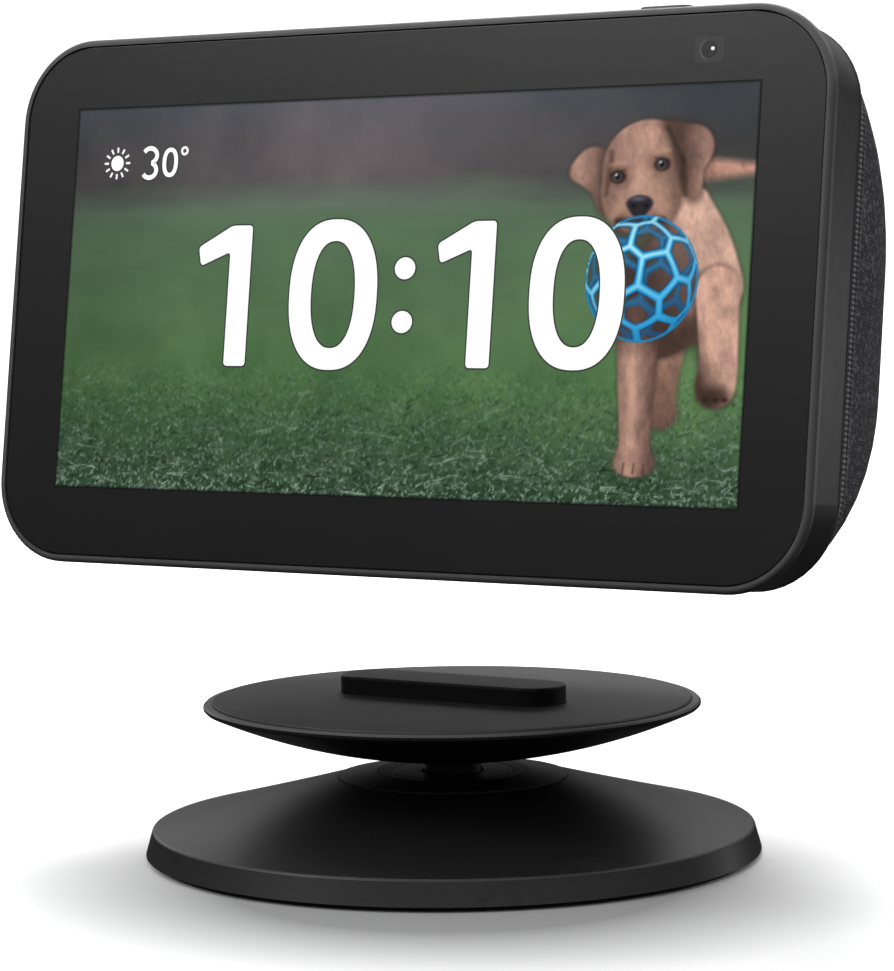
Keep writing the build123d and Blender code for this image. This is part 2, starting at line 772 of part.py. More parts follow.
with BuildPart() as speaker_chamber:
    turned([(0, 16), (20.5, 16), (22, 17.5), (22, 33), (20.2, 33), (20.2, 17.8), (0, 17.8)])
    for x in (-25.5, 25.5):
        slab(30.0, 2.0, 11.0, 8.0, speaker_up, 3.0, x)
    turned([(0, 17.8), (20.2, 17.8), (20.2, 33), (0, 33)], Mode.SUBTRACT)
    pins_at(speaker_screw_points, 0.8 + screw_clearance, 29, 4, Mode.SUBTRACT)
write(speaker_chamber, "speaker_chamber")

with BuildPart() as speaker_magnet:
    turned([(0, 20), (11, 20), (11, 22), (10.6, 22), (10.6, 26), (9.8, 26), (9.8, 27), (0, 27)])
write(speaker_magnet, "speaker_magnet")

with BuildPart() as speaker_basket:
    turned([(0, 27.05), (9.6, 27.05), (17.2, 33.05), (21.8, 33.05), (21.8, 34.1), (16.8, 34.1),
            (9, 28), (0, 28)])
    with BuildSketch(behind(34.1)) as vents:
        with Locations((0, speaker_up)):
            with PolarLocations(12.4, 6):
                Rectangle(4.6, 5.0)
    extrude(vents.sketch, amount=6.0, mode=Mode.SUBTRACT)
write(speaker_basket, "speaker_basket")

with BuildPart() as speaker_cone:
    turned([(0, 29.6), (5.6, 29.6), (15.4, 34.0), (15.4, 34.5), (5.4, 30.1), (4.6, 30.6),
            (0, 31.6)])
write(speaker_cone, "speaker_cone")

with BuildPart() as speaker_surround:
    turned([(15.45, 34.15), (17.2, 35.4), (19.0, 34.15), (20.6, 34.15), (20.6, 34.65),
            (19.1, 34.65), (17.2, 36.0), (15.45, 34.65)])
write(speaker_surround, "speaker_surround")

screws("speaker_screws", from_behind(32.05), speaker_screw_points,
       shank_radius=0.8, length=6.0, head_radius=1.8, head_height=0.9)

# ---------------------------------------------------------------- display: sockets at the back
port_up = 29.0
jack_x, usb_x = -8.5, 8.5
panel_back = 58.0
with BuildPart() as port_board:
    slab(46.0, 1.0, 36.0, 13.0, port_up, 1.0)
write(port_board, "port_board")

with BuildPart() as dc_jack:
    slab(47.05, 7.3, 9.0, 9.5, port_up, 0.8, jack_x)
    pins_at([(jack_x, port_up)], 3.6, 54.3, 3.6)
    pins_at([(jack_x, port_up)], 2.75, 50.0, 9.0, Mode.SUBTRACT)
    pins_at([(jack_x, port_up)], 0.85, 48.0, 9.0)
write(dc_jack, "dc_jack")

with BuildPart() as usb_port:
    slab(47.05, 10.85, 9.0, 3.3, port_up, 1.6, usb_x)
    slab(49.0, 10.0, 8.3, 2.6, port_up, 1.28, usb_x, Mode.SUBTRACT)
    slab(48.5, 8.5, 6.4, 0.7, port_up, 0.2, usb_x)
write(usb_port, "usb_port")

with BuildPart() as port_panel:
    slab(54.4, panel_back + 0.02 - 54.4, 36.0, 13.0, port_up, 6.4)
    slab(panel_back + 0.02, 0.7, 38.4, 15.4, port_up, 7.6)
    fillet(port_panel.faces().sort_by(speaker_axis)[-1].edges(), 0.3)
    pins_at([(jack_x, port_up)], 3.75, 54.0, 6.0, Mode.SUBTRACT)
    slab(54.0, 6.0, 9.3, 3.6, port_up, 1.75, usb_x, Mode.SUBTRACT)
write(port_panel, "port_panel")

with BuildPart() as power_cable:
    cable_points = [
        behind(d).from_local_coords((x, v, 0))
        for x, v, d in ((36, 32, 16.1), (35, 30, 24), (22, 27, 38), (12, 28, 45.8))
    ]
    with BuildLine() as cable_path:
        Spline(*cable_points, tangents=(-out_face, -out_face))
    with BuildSketch(Plane(cable_points[0], x_dir=(1, 0, 0), z_dir=-out_face)):
        Circle(1.3)
    sweep()
write(power_cable, "power_cable")

# ---------------------------------------------------------------- display: sole with the key pocket
sole = Plane.XY.offset(sole_height)
sole_length, sole_width, sole_y = 88.0, 24.5, 0.75
pad = 0.9
pocket_height = 5.0
key_room = 0.3
sole_screw_points = [(-38.0, 0.75), (38.0, 0.75)]


def sole_block(grow, low, high, radius, mode=Mode.ADD):
    """A flat block with the outline of the sole, between two heights above the sole plane."""
    with BuildSketch(sole.offset(low)) as outline:
        with Locations((0, sole_y)):
            RectangleRounded(sole_length + 2 * grow, sole_width + 2 * grow, radius)
    extrude(outline.sketch, amount=high - low, mode=mode)


def key_pocket(height, room):
    """Cuts the room for the stand's key from below."""
    with BuildSketch(sole.offset(-0.5)) as outline:
        RectangleRounded(key_length + 2 * room, key_depth + 2 * room, key_corner + room)
    extrude(outline.sketch, amount=height + 0.5, mode=Mode.SUBTRACT)


with BuildPart() as sole_pad:
    sole_block(0, 0, pad, 6.0)
    key_pocket(pad, key_room + 0.1)
write(sole_pad, "sole_pad")

with BuildPart() as bottom_plate:
    sole_block(0, pad + 0.02, pocket_height - 0.1, 6.0)
    key_pocket(key_height + 0.5, key_room)
    with BuildSketch(sole.offset(3.6)):
        Rectangle(64.2, 20.2)
    extrude(amount=2, mode=Mode.SUBTRACT)
    with BuildSketch(sole):
        with Locations(*sole_screw_points):
            Circle(1.0 + screw_clearance)
    extrude(amount=6, mode=Mode.SUBTRACT)
    with BuildSketch(sole):
        with Locations(*sole_screw_points):
            Circle(2.2)
    extrude(amount=2.2, mode=Mode.SUBTRACT)
write(bottom_plate, "bottom_plate")

with BuildPart() as dock_steel:
    with BuildSketch(sole.offset(3.65)):
        RectangleRounded(64.0, 20.0, 1.0)
    extrude(amount=1.2)
write(dock_steel, "dock_steel")

screws(
    "sole_screws",
    Plane((0, 0, sole_height + 2.15), x_dir=(1, 0, 0), z_dir=(0, 0, -1)),
    [(x, -y) for x, y in sole_screw_points],
    shank_radius=1.0,
    length=4.2,
    head_radius=2.0,
    head_height=1.1,
)

# ---------------------------------------------------------------- display: rear housing and its cloth
with BuildPart() as housing_body:
    back_body(cloth_thickness + shell_gap)

with BuildPart() as housing_block:
    sole_block(2.8, 0, pocket_height + 1.6, 8.0)
    add(housing_body, mode=Mode.INTERSECT)

with BuildPart() as rear_housing:
    add(housing_body)
    back_body(cloth_thickness + shell_gap + wall, Mode.SUBTRACT)
    add(housing_block)
    sole_block(0.1, -2, pocket_height, 6.1, Mode.SUBTRACT)
    for x in (-66.5, 66.5):
        for v in (13.2, 70.0):
            slab(ear_depth, 12.0 - ear_depth, 8.0, 7.4, v, 1.2, x)
    pins_at(frame_screw_points, 1.0 + screw_clearance, 9, 4, Mode.SUBTRACT)
    with BuildSketch(sole):
        with Locations(*sole_screw_points):
            Circle(1.0 + screw_clearance)
    extrude(amount=8, mode=Mode.SUBTRACT)
    slab(50, 12, 36.2, 13.2, port_up, 6.5, 0, Mode.SUBTRACT)
    # slots that let the sound out under the cloth
    for row in range(6):
        for x in (-20.0, 0.0, 20.0):
            slab(34, 30, 16.0, 1.8, 40.0 + 4.0 * row, 0.8, x, Mode.SUBTRACT)
write(rear_housing, "rear_housing")

with BuildPart() as fabric_cover:
    back_body(0)
    back_body(cloth_thickness, Mode.SUBTRACT)
    sole_block(0.15, -2, pocket_height + 2, 6.2, Mode.SUBTRACT)
    slab(50, 12, 36.4, 13.4, port_up, 6.6, 0, Mode.SUBTRACT)
write(fabric_cover, "fabric_cover")
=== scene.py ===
"""Looks of the smart display: materials, the knitted back, the lit picture, and a plain studio.

Sizes are in millimetres and are turned into metres by MM. `at` gives a point on the display from x to
the right, v up the screen and d backwards from the front of the bezel, as in the CAD model.
"""
import json
from math import cos, pi, radians, sin, tau

import bmesh
import bpy
import numpy as np
from mathutils import Matrix, Vector


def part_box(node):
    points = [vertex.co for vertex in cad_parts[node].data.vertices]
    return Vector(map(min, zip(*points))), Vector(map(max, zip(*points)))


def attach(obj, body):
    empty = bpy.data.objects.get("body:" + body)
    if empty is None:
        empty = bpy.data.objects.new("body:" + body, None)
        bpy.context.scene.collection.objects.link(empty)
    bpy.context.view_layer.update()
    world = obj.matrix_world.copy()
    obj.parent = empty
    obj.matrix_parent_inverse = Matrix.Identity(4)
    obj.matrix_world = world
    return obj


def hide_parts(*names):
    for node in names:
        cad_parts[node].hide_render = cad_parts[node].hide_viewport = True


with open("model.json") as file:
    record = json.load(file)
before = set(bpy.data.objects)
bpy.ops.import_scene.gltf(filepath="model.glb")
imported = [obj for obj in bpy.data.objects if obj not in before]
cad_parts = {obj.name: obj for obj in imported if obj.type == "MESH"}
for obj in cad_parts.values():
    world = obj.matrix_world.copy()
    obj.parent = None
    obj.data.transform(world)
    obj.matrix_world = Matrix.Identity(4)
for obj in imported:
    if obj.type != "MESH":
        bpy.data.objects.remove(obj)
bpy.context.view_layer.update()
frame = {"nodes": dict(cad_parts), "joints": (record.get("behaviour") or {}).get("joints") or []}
nodes = frame["nodes"]
MM = 0.001

# ------------------------ the display's own frame
press_axis = next(j["axis"] for j in frame["joints"] if j["name"] == "mic_press")
UP = -Vector(press_axis).normalized()
OUT = Vector((0, -UP.z, UP.y))
RIGHT = Vector((1, 0, 0))


def spread(node, axis):
    """Lowest and highest place of a CAD node along an axis, in metres."""
    along = [v.co.dot(axis) for v in nodes[node].data.vertices]
    return min(along), max(along)


face_low = spread("front_bezel", UP)[0]
face_front = spread("front_bezel", OUT)[1]
FACE = UP * face_low + OUT * face_front
ON_FACE = Matrix((RIGHT, UP, OUT)).transposed().to_4x4()


def at(x, v, d):
    """A point on the display in metres, from millimetres."""
    return FACE + (RIGHT * x + UP * v - OUT * d) * MM


def span(node):
    """(left, right, low, high, front, back) of a node on the display, in millimetres."""
    x0, x1 = spread(node, RIGHT)
    v0, v1 = spread(node, UP)
    d0, d1 = spread(node, OUT)
    places = (x0, x1, v0 - face_low, v1 - face_low, face_front - d1, face_front - d0)
    return tuple(p / MM for p in places)


# ------------------------ colours and node materials
def linear(*srgb):
    """A colour given as 0-255 screen values, made linear."""
    c = np.array(srgb, float) / 255.0
    return np.where(c <= 0.04045, c / 12.92, ((c + 0.055) / 1.055) ** 2.4)


def colour_mix(tree, factor):
    """A node that mixes two colours: its two inputs and its output."""
    made = tree.nodes.new("ShaderNodeMix")
    made.data_type = "RGBA"
    tree.links.new(factor, made.inputs["Factor"])
    first, second = (socket for socket in made.inputs if socket.type == "RGBA")
    return first, second, next(socket for socket in made.outputs if socket.type == "RGBA")


class Shader:
    """A Principled material with short calls for the nodes that feed it."""

    def __init__(self, name, colour, roughness, metallic=0.0, specular=0.5):
        self.material = bpy.data.materials.new(name)
        self.material.use_nodes = True
        self.tree = self.material.node_tree
        self.bsdf = self.tree.nodes["Principled BSDF"]
        self.colour = tuple(colour) + (1.0,)
        self.material.diffuse_color = self.colour
        self.bsdf.inputs["Base Color"].default_value = self.colour
        self.bsdf.inputs["Roughness"].default_value = roughness
        self.bsdf.inputs["Metallic"].default_value = metallic
        self.bsdf.inputs["Specular IOR Level"].default_value = specular

    def node(self, kind, **values):
        """A new node; each value goes to its setting or to its input of that name."""
        made = self.tree.nodes.new(kind)
        for key, value in values.items():
            if hasattr(made, key):
                setattr(made, key, value)
            else:
                made.inputs[key.replace("_", " ")].default_value = value
        return made

    def link(self, source, target):
        self.tree.links.new(source, target)

    def math(self, operation, a, b=0.0):
        made = self.tree.nodes.new("ShaderNodeMath")
        made.operation = operation
        for socket, value in zip(made.inputs, (a, b)):
            if isinstance(value, (int, float)):
                socket.default_value = value
            else:
                self.link(value, socket)
        return made.outputs[0]

    def add(self, a, b):
        return self.math("ADD", a, b)

    def times(self, a, b):
        return self.math("MULTIPLY", a, b)

    def object_place(self):
        return self.node("ShaderNodeTexCoord").outputs["Object"]

    def drawn_out(self, scale, turn=(0.0, 0.0, 0.0)):
        """The place on the object, scaled and turned so that noise on it makes long marks."""
        made = self.node("ShaderNodeMapping", Scale=scale, Rotation=turn)
        self.link(self.object_place(), made.inputs["Vector"])
        return made.outputs["Vector"]

    def parts(self, vector):
        """The X, Y and Z of a vector."""
        made = self.node("ShaderNodeSeparateXYZ")
        self.link(vector, made.inputs[0])
        return made.outputs

    def noise(self, scale, detail=3.0, roughness=0.6, vector=None):
        made = self.node("ShaderNodeTexNoise", Scale=scale, Detail=detail, Roughness=roughness)
        self.link(vector or self.object_place(), made.inputs["Vector"])
        return made.outputs["Fac"]

    def cells(self, scale):
        made = self.node("ShaderNodeTexVoronoi", Scale=scale)
        self.link(self.object_place(), made.inputs["Vector"])
        return made.outputs["Distance"]

    def stretch(self, value, low, high, new_low=0.0, new_high=1.0):
        """Maps low..high to new_low..new_high, clamped."""
        made = self.tree.nodes.new("ShaderNodeMapRange")
        self.link(value, made.inputs["Value"])
        for key, v in zip(("From Min", "From Max", "To Min", "To Max"), (low, high, new_low, new_high)):
            made.inputs[key].default_value = v
        return made.outputs["Result"]

    def tint(self, factor, dark, light):
        """Sets the base colour to between dark and light times the material's own colour."""
        *ends, mixed = colour_mix(self.tree, factor)
        for socket, gain in zip(ends, (dark, light)):
            socket.default_value = tuple(min(1.0, c * gain) for c in self.colour[:3]) + (1.0,)
        self.set("Base Color", mixed)

    def bump(self, height, distance):
        """Relief of the height times a distance in millimetres."""
        made = self.node("ShaderNodeBump", Strength=1.0, Distance=distance * MM)
        self.link(height, made.inputs["Height"])
        self.link(made.outputs["Normal"], self.bsdf.inputs["Normal"])

    def set(self, key, value):
        """Gives an input of the Principled shader a value or another node's output."""
        if isinstance(value, (int, float, tuple)):
            self.bsdf.inputs[key].default_value = value
        else:
            self.link(value, self.bsdf.inputs[key])


def moulded(name, colour, roughness, grain=0.02, grain_scale=3200.0, edge_light=1.8):
    """Spark-eroded plastic: fine grain (in millimetres), faint handling marks, and paler edges that are
    partly rubbing wear and partly a painted highlight.
    """
    s = Shader(name, colour, roughness)
    cloud = s.noise(38.0, 4.0)
    # edges painted paler in patches: partly rubbing wear, partly a painted highlight as strong as edge_light
    edges = s.stretch(s.node("ShaderNodeNewGeometry").outputs["Pointiness"], 0.505, 0.56)
    rubbed_and_lit_edges = s.times(edges, s.stretch(s.noise(420.0), 0.35, 0.65, 0.2, 1.0))
    dark = 0.92
    cloudy = s.times(cloud, 0.16 / (edge_light - dark))
    s.tint(s.add(cloudy, rubbed_and_lit_edges), dark, edge_light)
    s.set("Roughness", s.stretch(cloud, 0.3, 0.7, roughness - 0.01, roughness + 0.015))
    s.bump(s.noise(grain_scale, 2.0, 0.7), grain)
    return s.material


def top_lit(name, colour, roughness):
    """Moulded plastic with painted shade: its colour is painted light on faces that look up and near black on
    their sides and undersides, with more sheen on top.
    """
    s = Shader(name, colour, roughness)
    facing = s.parts(s.node("ShaderNodeNewGeometry").outputs["Normal"])
    # painted shade: the colour follows how far each face looks up
    up = s.stretch(facing["Z"], 0.55, 0.85)
    s.tint(s.add(up, s.times(s.noise(38.0), 0.06)), 0.12, 1.0)
    s.set("Specular IOR Level", s.stretch(up, 0.0, 1.0, 0.15, 0.5))
    s.bump(s.noise(3200.0, 2.0, 0.7), 0.01)
    return s.material


def rubber(name, colour):
    """Matt elastomer with dust in its fine grain."""
    s = Shader(name, colour, 0.72, specular=0.35)
    dust = s.stretch(s.noise(900.0, 5.0, 0.75), 0.52, 0.74)
    s.tint(dust, 0.9, 2.0)
    s.bump(s.noise(2600.0, 3.0), 0.04)
    return s.material


def metal(name, colour, roughness, brushed=True):
    """Plated or brushed metal: fine lines along X and cloudy roughness."""
    s = Shader(name, colour, roughness, metallic=1.0)
    scale = (60.0, 2400.0, 2400.0) if brushed else (900.0, 900.0, 900.0)
    lines = s.noise(1.0, 4.0, 0.7, s.drawn_out(scale))
    s.tint(lines, 0.75, 1.15)
    s.set("Roughness", s.stretch(lines, 0.3, 0.7, roughness * 0.8, roughness * 1.4))
    s.bump(lines, 0.015)
    return s.material


def circuit(name, colour):
    """Solder mask over etched tracks."""
    s = Shader(name, colour, 0.35)
    line = s.stretch(s.cells(420.0), 0.42, 0.5)
    s.tint(line, 0.8, 1.9)
    s.bump(line, 0.03)
    return s.material


def casting(name, colour):
    """Rough cast iron."""
    s = Shader(name, colour, 0.62, metallic=0.8)
    rough = s.noise(700.0, 6.0, 0.75)
    s.tint(rough, 0.6, 1.3)
    s.bump(rough, 0.12)
    return s.material


def black_glass(name):
    """Glass with a black print behind it: satin against glare, with faint wiping marks."""
    s = Shader(name, linear(14, 14, 15), 0.3, specular=0.5)
    cloud = s.noise(22.0, 5.0, 0.65)
    wiped = s.noise(1.0, 5.0, 0.7, s.drawn_out((14.0, 90.0, 160.0), (0.0, 0.5, 0.2)))
    marks = s.add(cloud, s.times(wiped, 0.3))
    s.set("Roughness", s.stretch(marks, 0.4, 0.9, 0.28, 0.32))
    s.tint(cloud, 0.9, 1.1)
    s.set("Coat Weight", 0.15)
    s.set("Coat Roughness", 0.2)
    return s.material


def knit(name):
    """Charcoal heather knit: loops and flecks on the map "cloth", a stitched row on the map "hem", in mm."""
    s = Shader(name, linear(50, 50, 51), 0.92, specular=0.15)
    place = s.node("ShaderNodeUVMap", uv_map="cloth").outputs["UV"]
    u, v, _ = s.parts(place)
    loop_width, loop_length = 0.62, 0.5
    wander = s.times(s.math("SUBTRACT", s.noise(1.6, 3.0, 0.6, place), 0.5), 1.1)
    across = s.math("SINE", s.times(s.add(u, wander), tau / loop_width))
    ribs = s.math("ABSOLUTE", across)
    slant = s.add(s.times(s.add(v, wander), tau / loop_length), s.times(ribs, 1.9))
    loops = s.times(s.add(s.math("SINE", slant), 1.0), 0.5)
    yarn = s.times(s.math("POWER", ribs, 0.6), s.add(s.times(loops, 0.75), 0.25))
    fuzz = s.noise(7.0, 4.0, 0.8, place)
    # heather: single loops spun from paler or darker fibre
    fleck = s.node("ShaderNodeTexVoronoi", Scale=2.1)
    s.link(place, fleck.inputs["Vector"])
    tone = s.node("ShaderNodeSeparateColor")
    s.link(fleck.outputs["Color"], tone.inputs[0])
    pale = s.math("POWER", s.stretch(tone.outputs[0], 0.25, 1.0), 3.0)
    # a band of open diamond stitches runs just behind the front edge and fades into the knit
    along, back, _ = s.parts(s.node("ShaderNodeUVMap", uv_map="hem").outputs["UV"])
    stitch, band = 0.8, 3.4
    lean_back = s.times(back, 0.55)
    rising = s.math("SINE", s.times(s.add(along, lean_back), tau / 2 / stitch))
    falling = s.math("SINE", s.times(s.math("SUBTRACT", along, lean_back), tau / 2 / stitch))
    diamond = s.stretch(s.times(rising, falling), -0.35, 0.6)
    open_row = s.stretch(back, band * 0.45, band, 1.0, 0.0)
    # lightness mixes the heather's own pale flecks with painted shade: loops painted light on their crowns
    # and dark in the grooves between them, and the open row's stitches light with dark gaps
    light = s.add(s.times(yarn, 0.2), s.times(pale, 0.65))
    light = s.add(light, s.times(fuzz, 0.12))
    keep = s.math("SUBTRACT", 1.0, open_row)
    light = s.add(s.times(light, keep), s.times(diamond, open_row))
    s.tint(light, 0.12, 10.5)
    height = s.add(s.times(yarn, 0.6), s.times(pale, 0.5))
    height = s.add(s.times(height, keep), s.times(diamond, open_row))
    s.bump(s.add(height, s.times(fuzz, 0.4)), 0.2)
    s.set("Sheen Weight", 0.2)
    s.set("Sheen Roughness", 0.5)
    s.set("Sheen Tint", (0.7, 0.7, 0.73, 1.0))
    return s.material


def thread(name):
    """Twisted grey yarn."""
    s = Shader(name, linear(60, 60, 62), 0.8, specular=0.2)
    twist = s.noise(2200.0, 4.0, 0.8)
    s.tint(twist, 0.5, 1.6)
    s.set("Sheen Weight", 0.3)
    s.bump(twist, 0.08)
    return s.material


# ------------------------ mesh helpers
PRINT_THICKNESS = 0.01
PRINT_DEPTH = span("cover_glass")[4] - 0.02  # just in front of the glass


def new_object(name, data):
    """An object in the scene that shows the data."""
    made = bpy.data.objects.new(name, data)
    bpy.context.scene.collection.objects.link(made)
    return made


def display_piece(name, mesh):
    """A visual piece that rides on the display."""
    piece = new_object(name, mesh)
    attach(piece, "display")
    return piece


def add_mesh(name, vertices, faces, material):
    """A smooth piece on the display, made from lists of points and faces."""
    mesh = bpy.data.meshes.new(name)
    mesh.from_pydata([tuple(v) for v in vertices], [], faces)
    mesh.validate()
    mesh.update()
    mesh.materials.append(material)
    mesh.shade_smooth()
    return display_piece(name, mesh)


def baked(maker):
    """The mesh that an object shows once its curve is filled and its modifiers are applied."""
    bpy.context.view_layer.update()
    return bpy.data.meshes.new_from_object(maker.evaluated_get(bpy.context.evaluated_depsgraph_get()))


def flat_shape(name, outlines, lift, material):
    """A thin plate lifted a little off the picture, from closed outlines of (x, v); inner ones are holes."""
    curve = bpy.data.curves.new(name, "CURVE")
    curve.dimensions = "2D"
    curve.fill_mode = "BOTH"
    curve.extrude = PRINT_THICKNESS * MM / 2
    for outline in outlines:
        line = curve.splines.new("POLY")
        line.points.add(len(outline) - 1)
        for point, (x, v) in zip(line.points, outline):
            point.co = (x * MM, v * MM, 0, 1)
        line.use_cyclic_u = True
    maker = new_object(name + "_curve", curve)
    maker.matrix_world = Matrix.Translation(at(0, 0, PRINT_DEPTH - lift)) @ ON_FACE
    mesh = baked(maker)
    mesh.transform(maker.matrix_world)
    bpy.data.objects.remove(maker)
    mesh.name = name
    mesh.materials.clear()
    mesh.materials.append(material)
    display_piece(name, mesh)


def oval(x, v, half_width, half_height, power=2.0):
    """A closed superellipse as (x, v) points; power 2 is an ellipse, larger is squarer."""
    points = 72
    outline = []
    for i in range(points):
        a = tau * i / points
        c, s = cos(a), sin(a)
        px = half_width * abs(c) ** (2 / power) * (1 if c > 0 else -1)
        pv = half_height * abs(s) ** (2 / power) * (1 if s > 0 else -1)
        outline.append((x + px, v + pv))
    return outline


def rounded(corners, radius):
    """The same closed outline with each corner turned to a small curve."""
    steps = 6
    outline = []
    count = len(corners)
    for i, corner in enumerate(corners):
        here = Vector(corner)
        before = Vector(corners[i - 1]) - here
        after = Vector(corners[(i + 1) % count]) - here
        reach = min(radius, before.length / 2, after.length / 2)
        start = here + before.normalized() * reach
        end = here + after.normalized() * reach
        for k in range(steps + 1):
            t = k / steps
            outline.append(tuple(start * (1 - t) ** 2 + here * 2 * t * (1 - t) + end * t * t))
    return outline


# ------------------------ the lit picture, painted by formula
CELL = 0.2
PICTURE_WIDTH, PICTURE_HEIGHT = 125.0, 62.5
PICTURE_RISE = 0.5  # of the picture's middle above the panel's
panel = span("lcd_panel")
PICTURE_LOW = (panel[2] + panel[3] - PICTURE_HEIGHT) / 2 + PICTURE_RISE


def value_noise(x, y, seed, octaves, gain=0.55):
    """Smooth noise between 0 and 1 on arrays of places."""
    size = 64
    total, weight, amount = 0.0, 0.0, 1.0
    for octave in range(octaves):
        lattice = np.random.default_rng(seed + octave).random((size, size))
        i, j = np.floor(x).astype(int), np.floor(y).astype(int)
        fx, fy = x - i, y - j
        fx, fy = fx * fx * (3 - 2 * fx), fy * fy * (3 - 2 * fy)
        corner = [lattice[(j + b) % size, (i + a) % size] for a, b in ((0, 0), (1, 0), (0, 1), (1, 1))]
        low = corner[0] * (1 - fx) + corner[1] * fx
        high = corner[2] * (1 - fx) + corner[3] * fx
        total = total + amount * (low * (1 - fy) + high * fy)
        weight += amount
        amount *= gain
        x, y = x * 2.03 + 7.1, y * 2.03 + 3.7
    return total / weight


def between(first, second, amount):
    """Colours from first to second, one for each amount between 0 and 1."""
    amount = np.clip(amount, 0, 1)[..., None]
    return np.array(first) * (1 - amount) + np.array(second) * amount


class Painting:
    """A picture on a grid of places in millimetres, painted layer over layer in screen colours."""

    def __init__(self, width, height, step):
        columns, rows = int(width / step) + 1, int(height / step) + 1
        across, up = np.linspace(-width / 2, width / 2, columns), np.linspace(0, height, rows)
        self.x, self.y = np.meshgrid(across, up)
        self.step = step
        self.colour = np.zeros(self.x.shape + (3,))

    def lay(self, colour, cover):
        """Paints a colour, or an array of colours, where cover is above 0."""
        cover = np.clip(cover, 0, 1)[..., None]
        self.colour = self.colour * (1 - cover) + np.asarray(colour, float) * cover

    def shift(self, x, y):
        """Moves the origin for all that is painted next."""
        self.x, self.y = self.x - x, self.y - y

    def ellipse(self, x, y, rx, ry, turn=0.0):
        """Rough distance outside an ellipse that is turned by some degrees."""
        c, s = cos(radians(turn)), sin(radians(turn))
        dx, dy = self.x - x, self.y - y
        return (np.hypot((dx * c + dy * s) / rx, (dy * c - dx * s) / ry) - 1) * min(rx, ry)

    def limb(self, start, end, r_start, r_end):
        """Distance outside a tapering limb between two places."""
        (x0, y0), (x1, y1) = start, end
        along = ((self.x - x0) * (x1 - x0) + (self.y - y0) * (y1 - y0)) / ((x1 - x0) ** 2 + (y1 - y0) ** 2)
        t = np.clip(along, 0, 1)
        gap = np.hypot(self.x - x0 - t * (x1 - x0), self.y - y0 - t * (y1 - y0))
        return gap - (r_start + (r_end - r_start) * t)

    def join(self, distances, blend=1.0):
        """One smooth outline round several shapes."""
        return -blend * np.log(sum(np.exp(-np.clip(d / blend, -40, 40)) for d in distances))

    def inside(self, distance, soft):
        """Cover inside an outline, fading out over a soft edge."""
        return np.clip(0.5 - distance / soft, 0, 1)

    def spot(self, colour, distance, soft=0.35, strength=1.0):
        """Paints a colour inside an outline."""
        self.lay(colour, self.inside(distance, soft) * strength)


def paint_lawn(p):
    """A clipped hedge out of focus, a lawn, and sharper blades of grass at the front."""
    across = p.x / PICTURE_WIDTH + 0.5
    drift = value_noise(p.x / 16, p.y / 5, 3, 3) - 0.5
    clump = value_noise(p.x / 9, p.y / 9, 11, 4) - 0.5
    hedge_foot = 47.6 + 2.6 * drift
    middle = np.exp(-((across - 0.45) / 0.3) ** 2)
    hedge = between((61, 60, 61), (97, 90, 93), middle)
    hedge = hedge + (np.array((-4, 2, 6)) * np.clip((p.y - 54) / 8, 0, 1)[..., None])
    hedge = hedge + np.array((60, 48, 48)) * clump[..., None] * 0.4
    far = np.array((88, 112, 86)) + np.array((16, 22, 10)) * drift[..., None]
    near = np.array((70, 106, 63)) + np.array((32, 36, 24)) * clump[..., None]
    right = np.clip((across - 0.35) * 1.6, 0, 1)[..., None]
    depth = np.clip((46 - p.y) / 30, 0, 1)[..., None]
    lawn = far * (1 - depth) + (near + np.array((18, 20, 14)) * right) * depth
    lawn = lawn * (0.86 + 0.14 * np.clip(across * 5, 0, 1))[..., None]
    p.colour = lawn
    band = np.exp(-((p.y - 46.5) / 1.8) ** 2)
    p.lay(np.array((96, 104, 100)) * (0.75 + 0.35 * middle[..., None]), band * 0.55)
    p.spot(hedge, hedge_foot - p.y, 4.8)
    shadow = np.clip((18 - p.y) / 16, 0, 1)
    mottled = value_noise(p.x / 2.3, p.y / 1.5, 29, 5, 0.7)
    p.lay(np.array((34, 54, 36)) + np.array((66, 76, 64)) * (mottled[..., None] - 0.35), shadow * 0.85)


def paint_blades(p, count):
    """Single blades of grass, thicker and sharper towards the front."""
    random = np.random.default_rng(5)
    rows, columns = p.x.shape
    deepest, reach = 21.0, 0.6
    for _ in range(count):
        x, y = random.uniform(-63, 63), deepest * random.random() ** 1.4
        near = 1 - y / deepest
        length = (1.1 + 2.4 * random.random()) * (0.5 + near)
        lean = random.normal(0, 0.62)
        tone = random.random() ** 1.3
        shade = np.array((16, 34, 20)) * (1 - tone) + np.array((156, 178, 158)) * tone
        half = 0.07 + 0.09 * near * random.random()
        x1, y1 = x + length * sin(lean), y + length * cos(lean) * 0.8
        i0 = max(0, int((min(x, x1) - reach + PICTURE_WIDTH / 2) / p.step))
        i1 = min(columns, int((max(x, x1) + reach + PICTURE_WIDTH / 2) / p.step) + 2)
        j0 = max(0, int((min(y, y1) - reach) / p.step))
        j1 = min(rows, int((max(y, y1) + reach) / p.step) + 2)
        if i1 <= i0 or j1 <= j0:
            continue
        px, py = p.x[j0:j1, i0:i1], p.y[j0:j1, i0:i1]
        t = np.clip(((px - x) * (x1 - x) + (py - y) * (y1 - y)) / (length ** 2), 0, 1)
        gap = np.hypot(px - x - t * (x1 - x), py - y - t * (y1 - y)) - half * (1 - 0.7 * t)
        cover = np.clip(0.5 - gap / (0.13 + 0.35 * (1 - near)), 0, 1)[..., None] * near ** 0.6
        window = p.colour[j0:j1, i0:i1]
        p.colour[j0:j1, i0:i1] = window * (1 - cover) + shade * cover


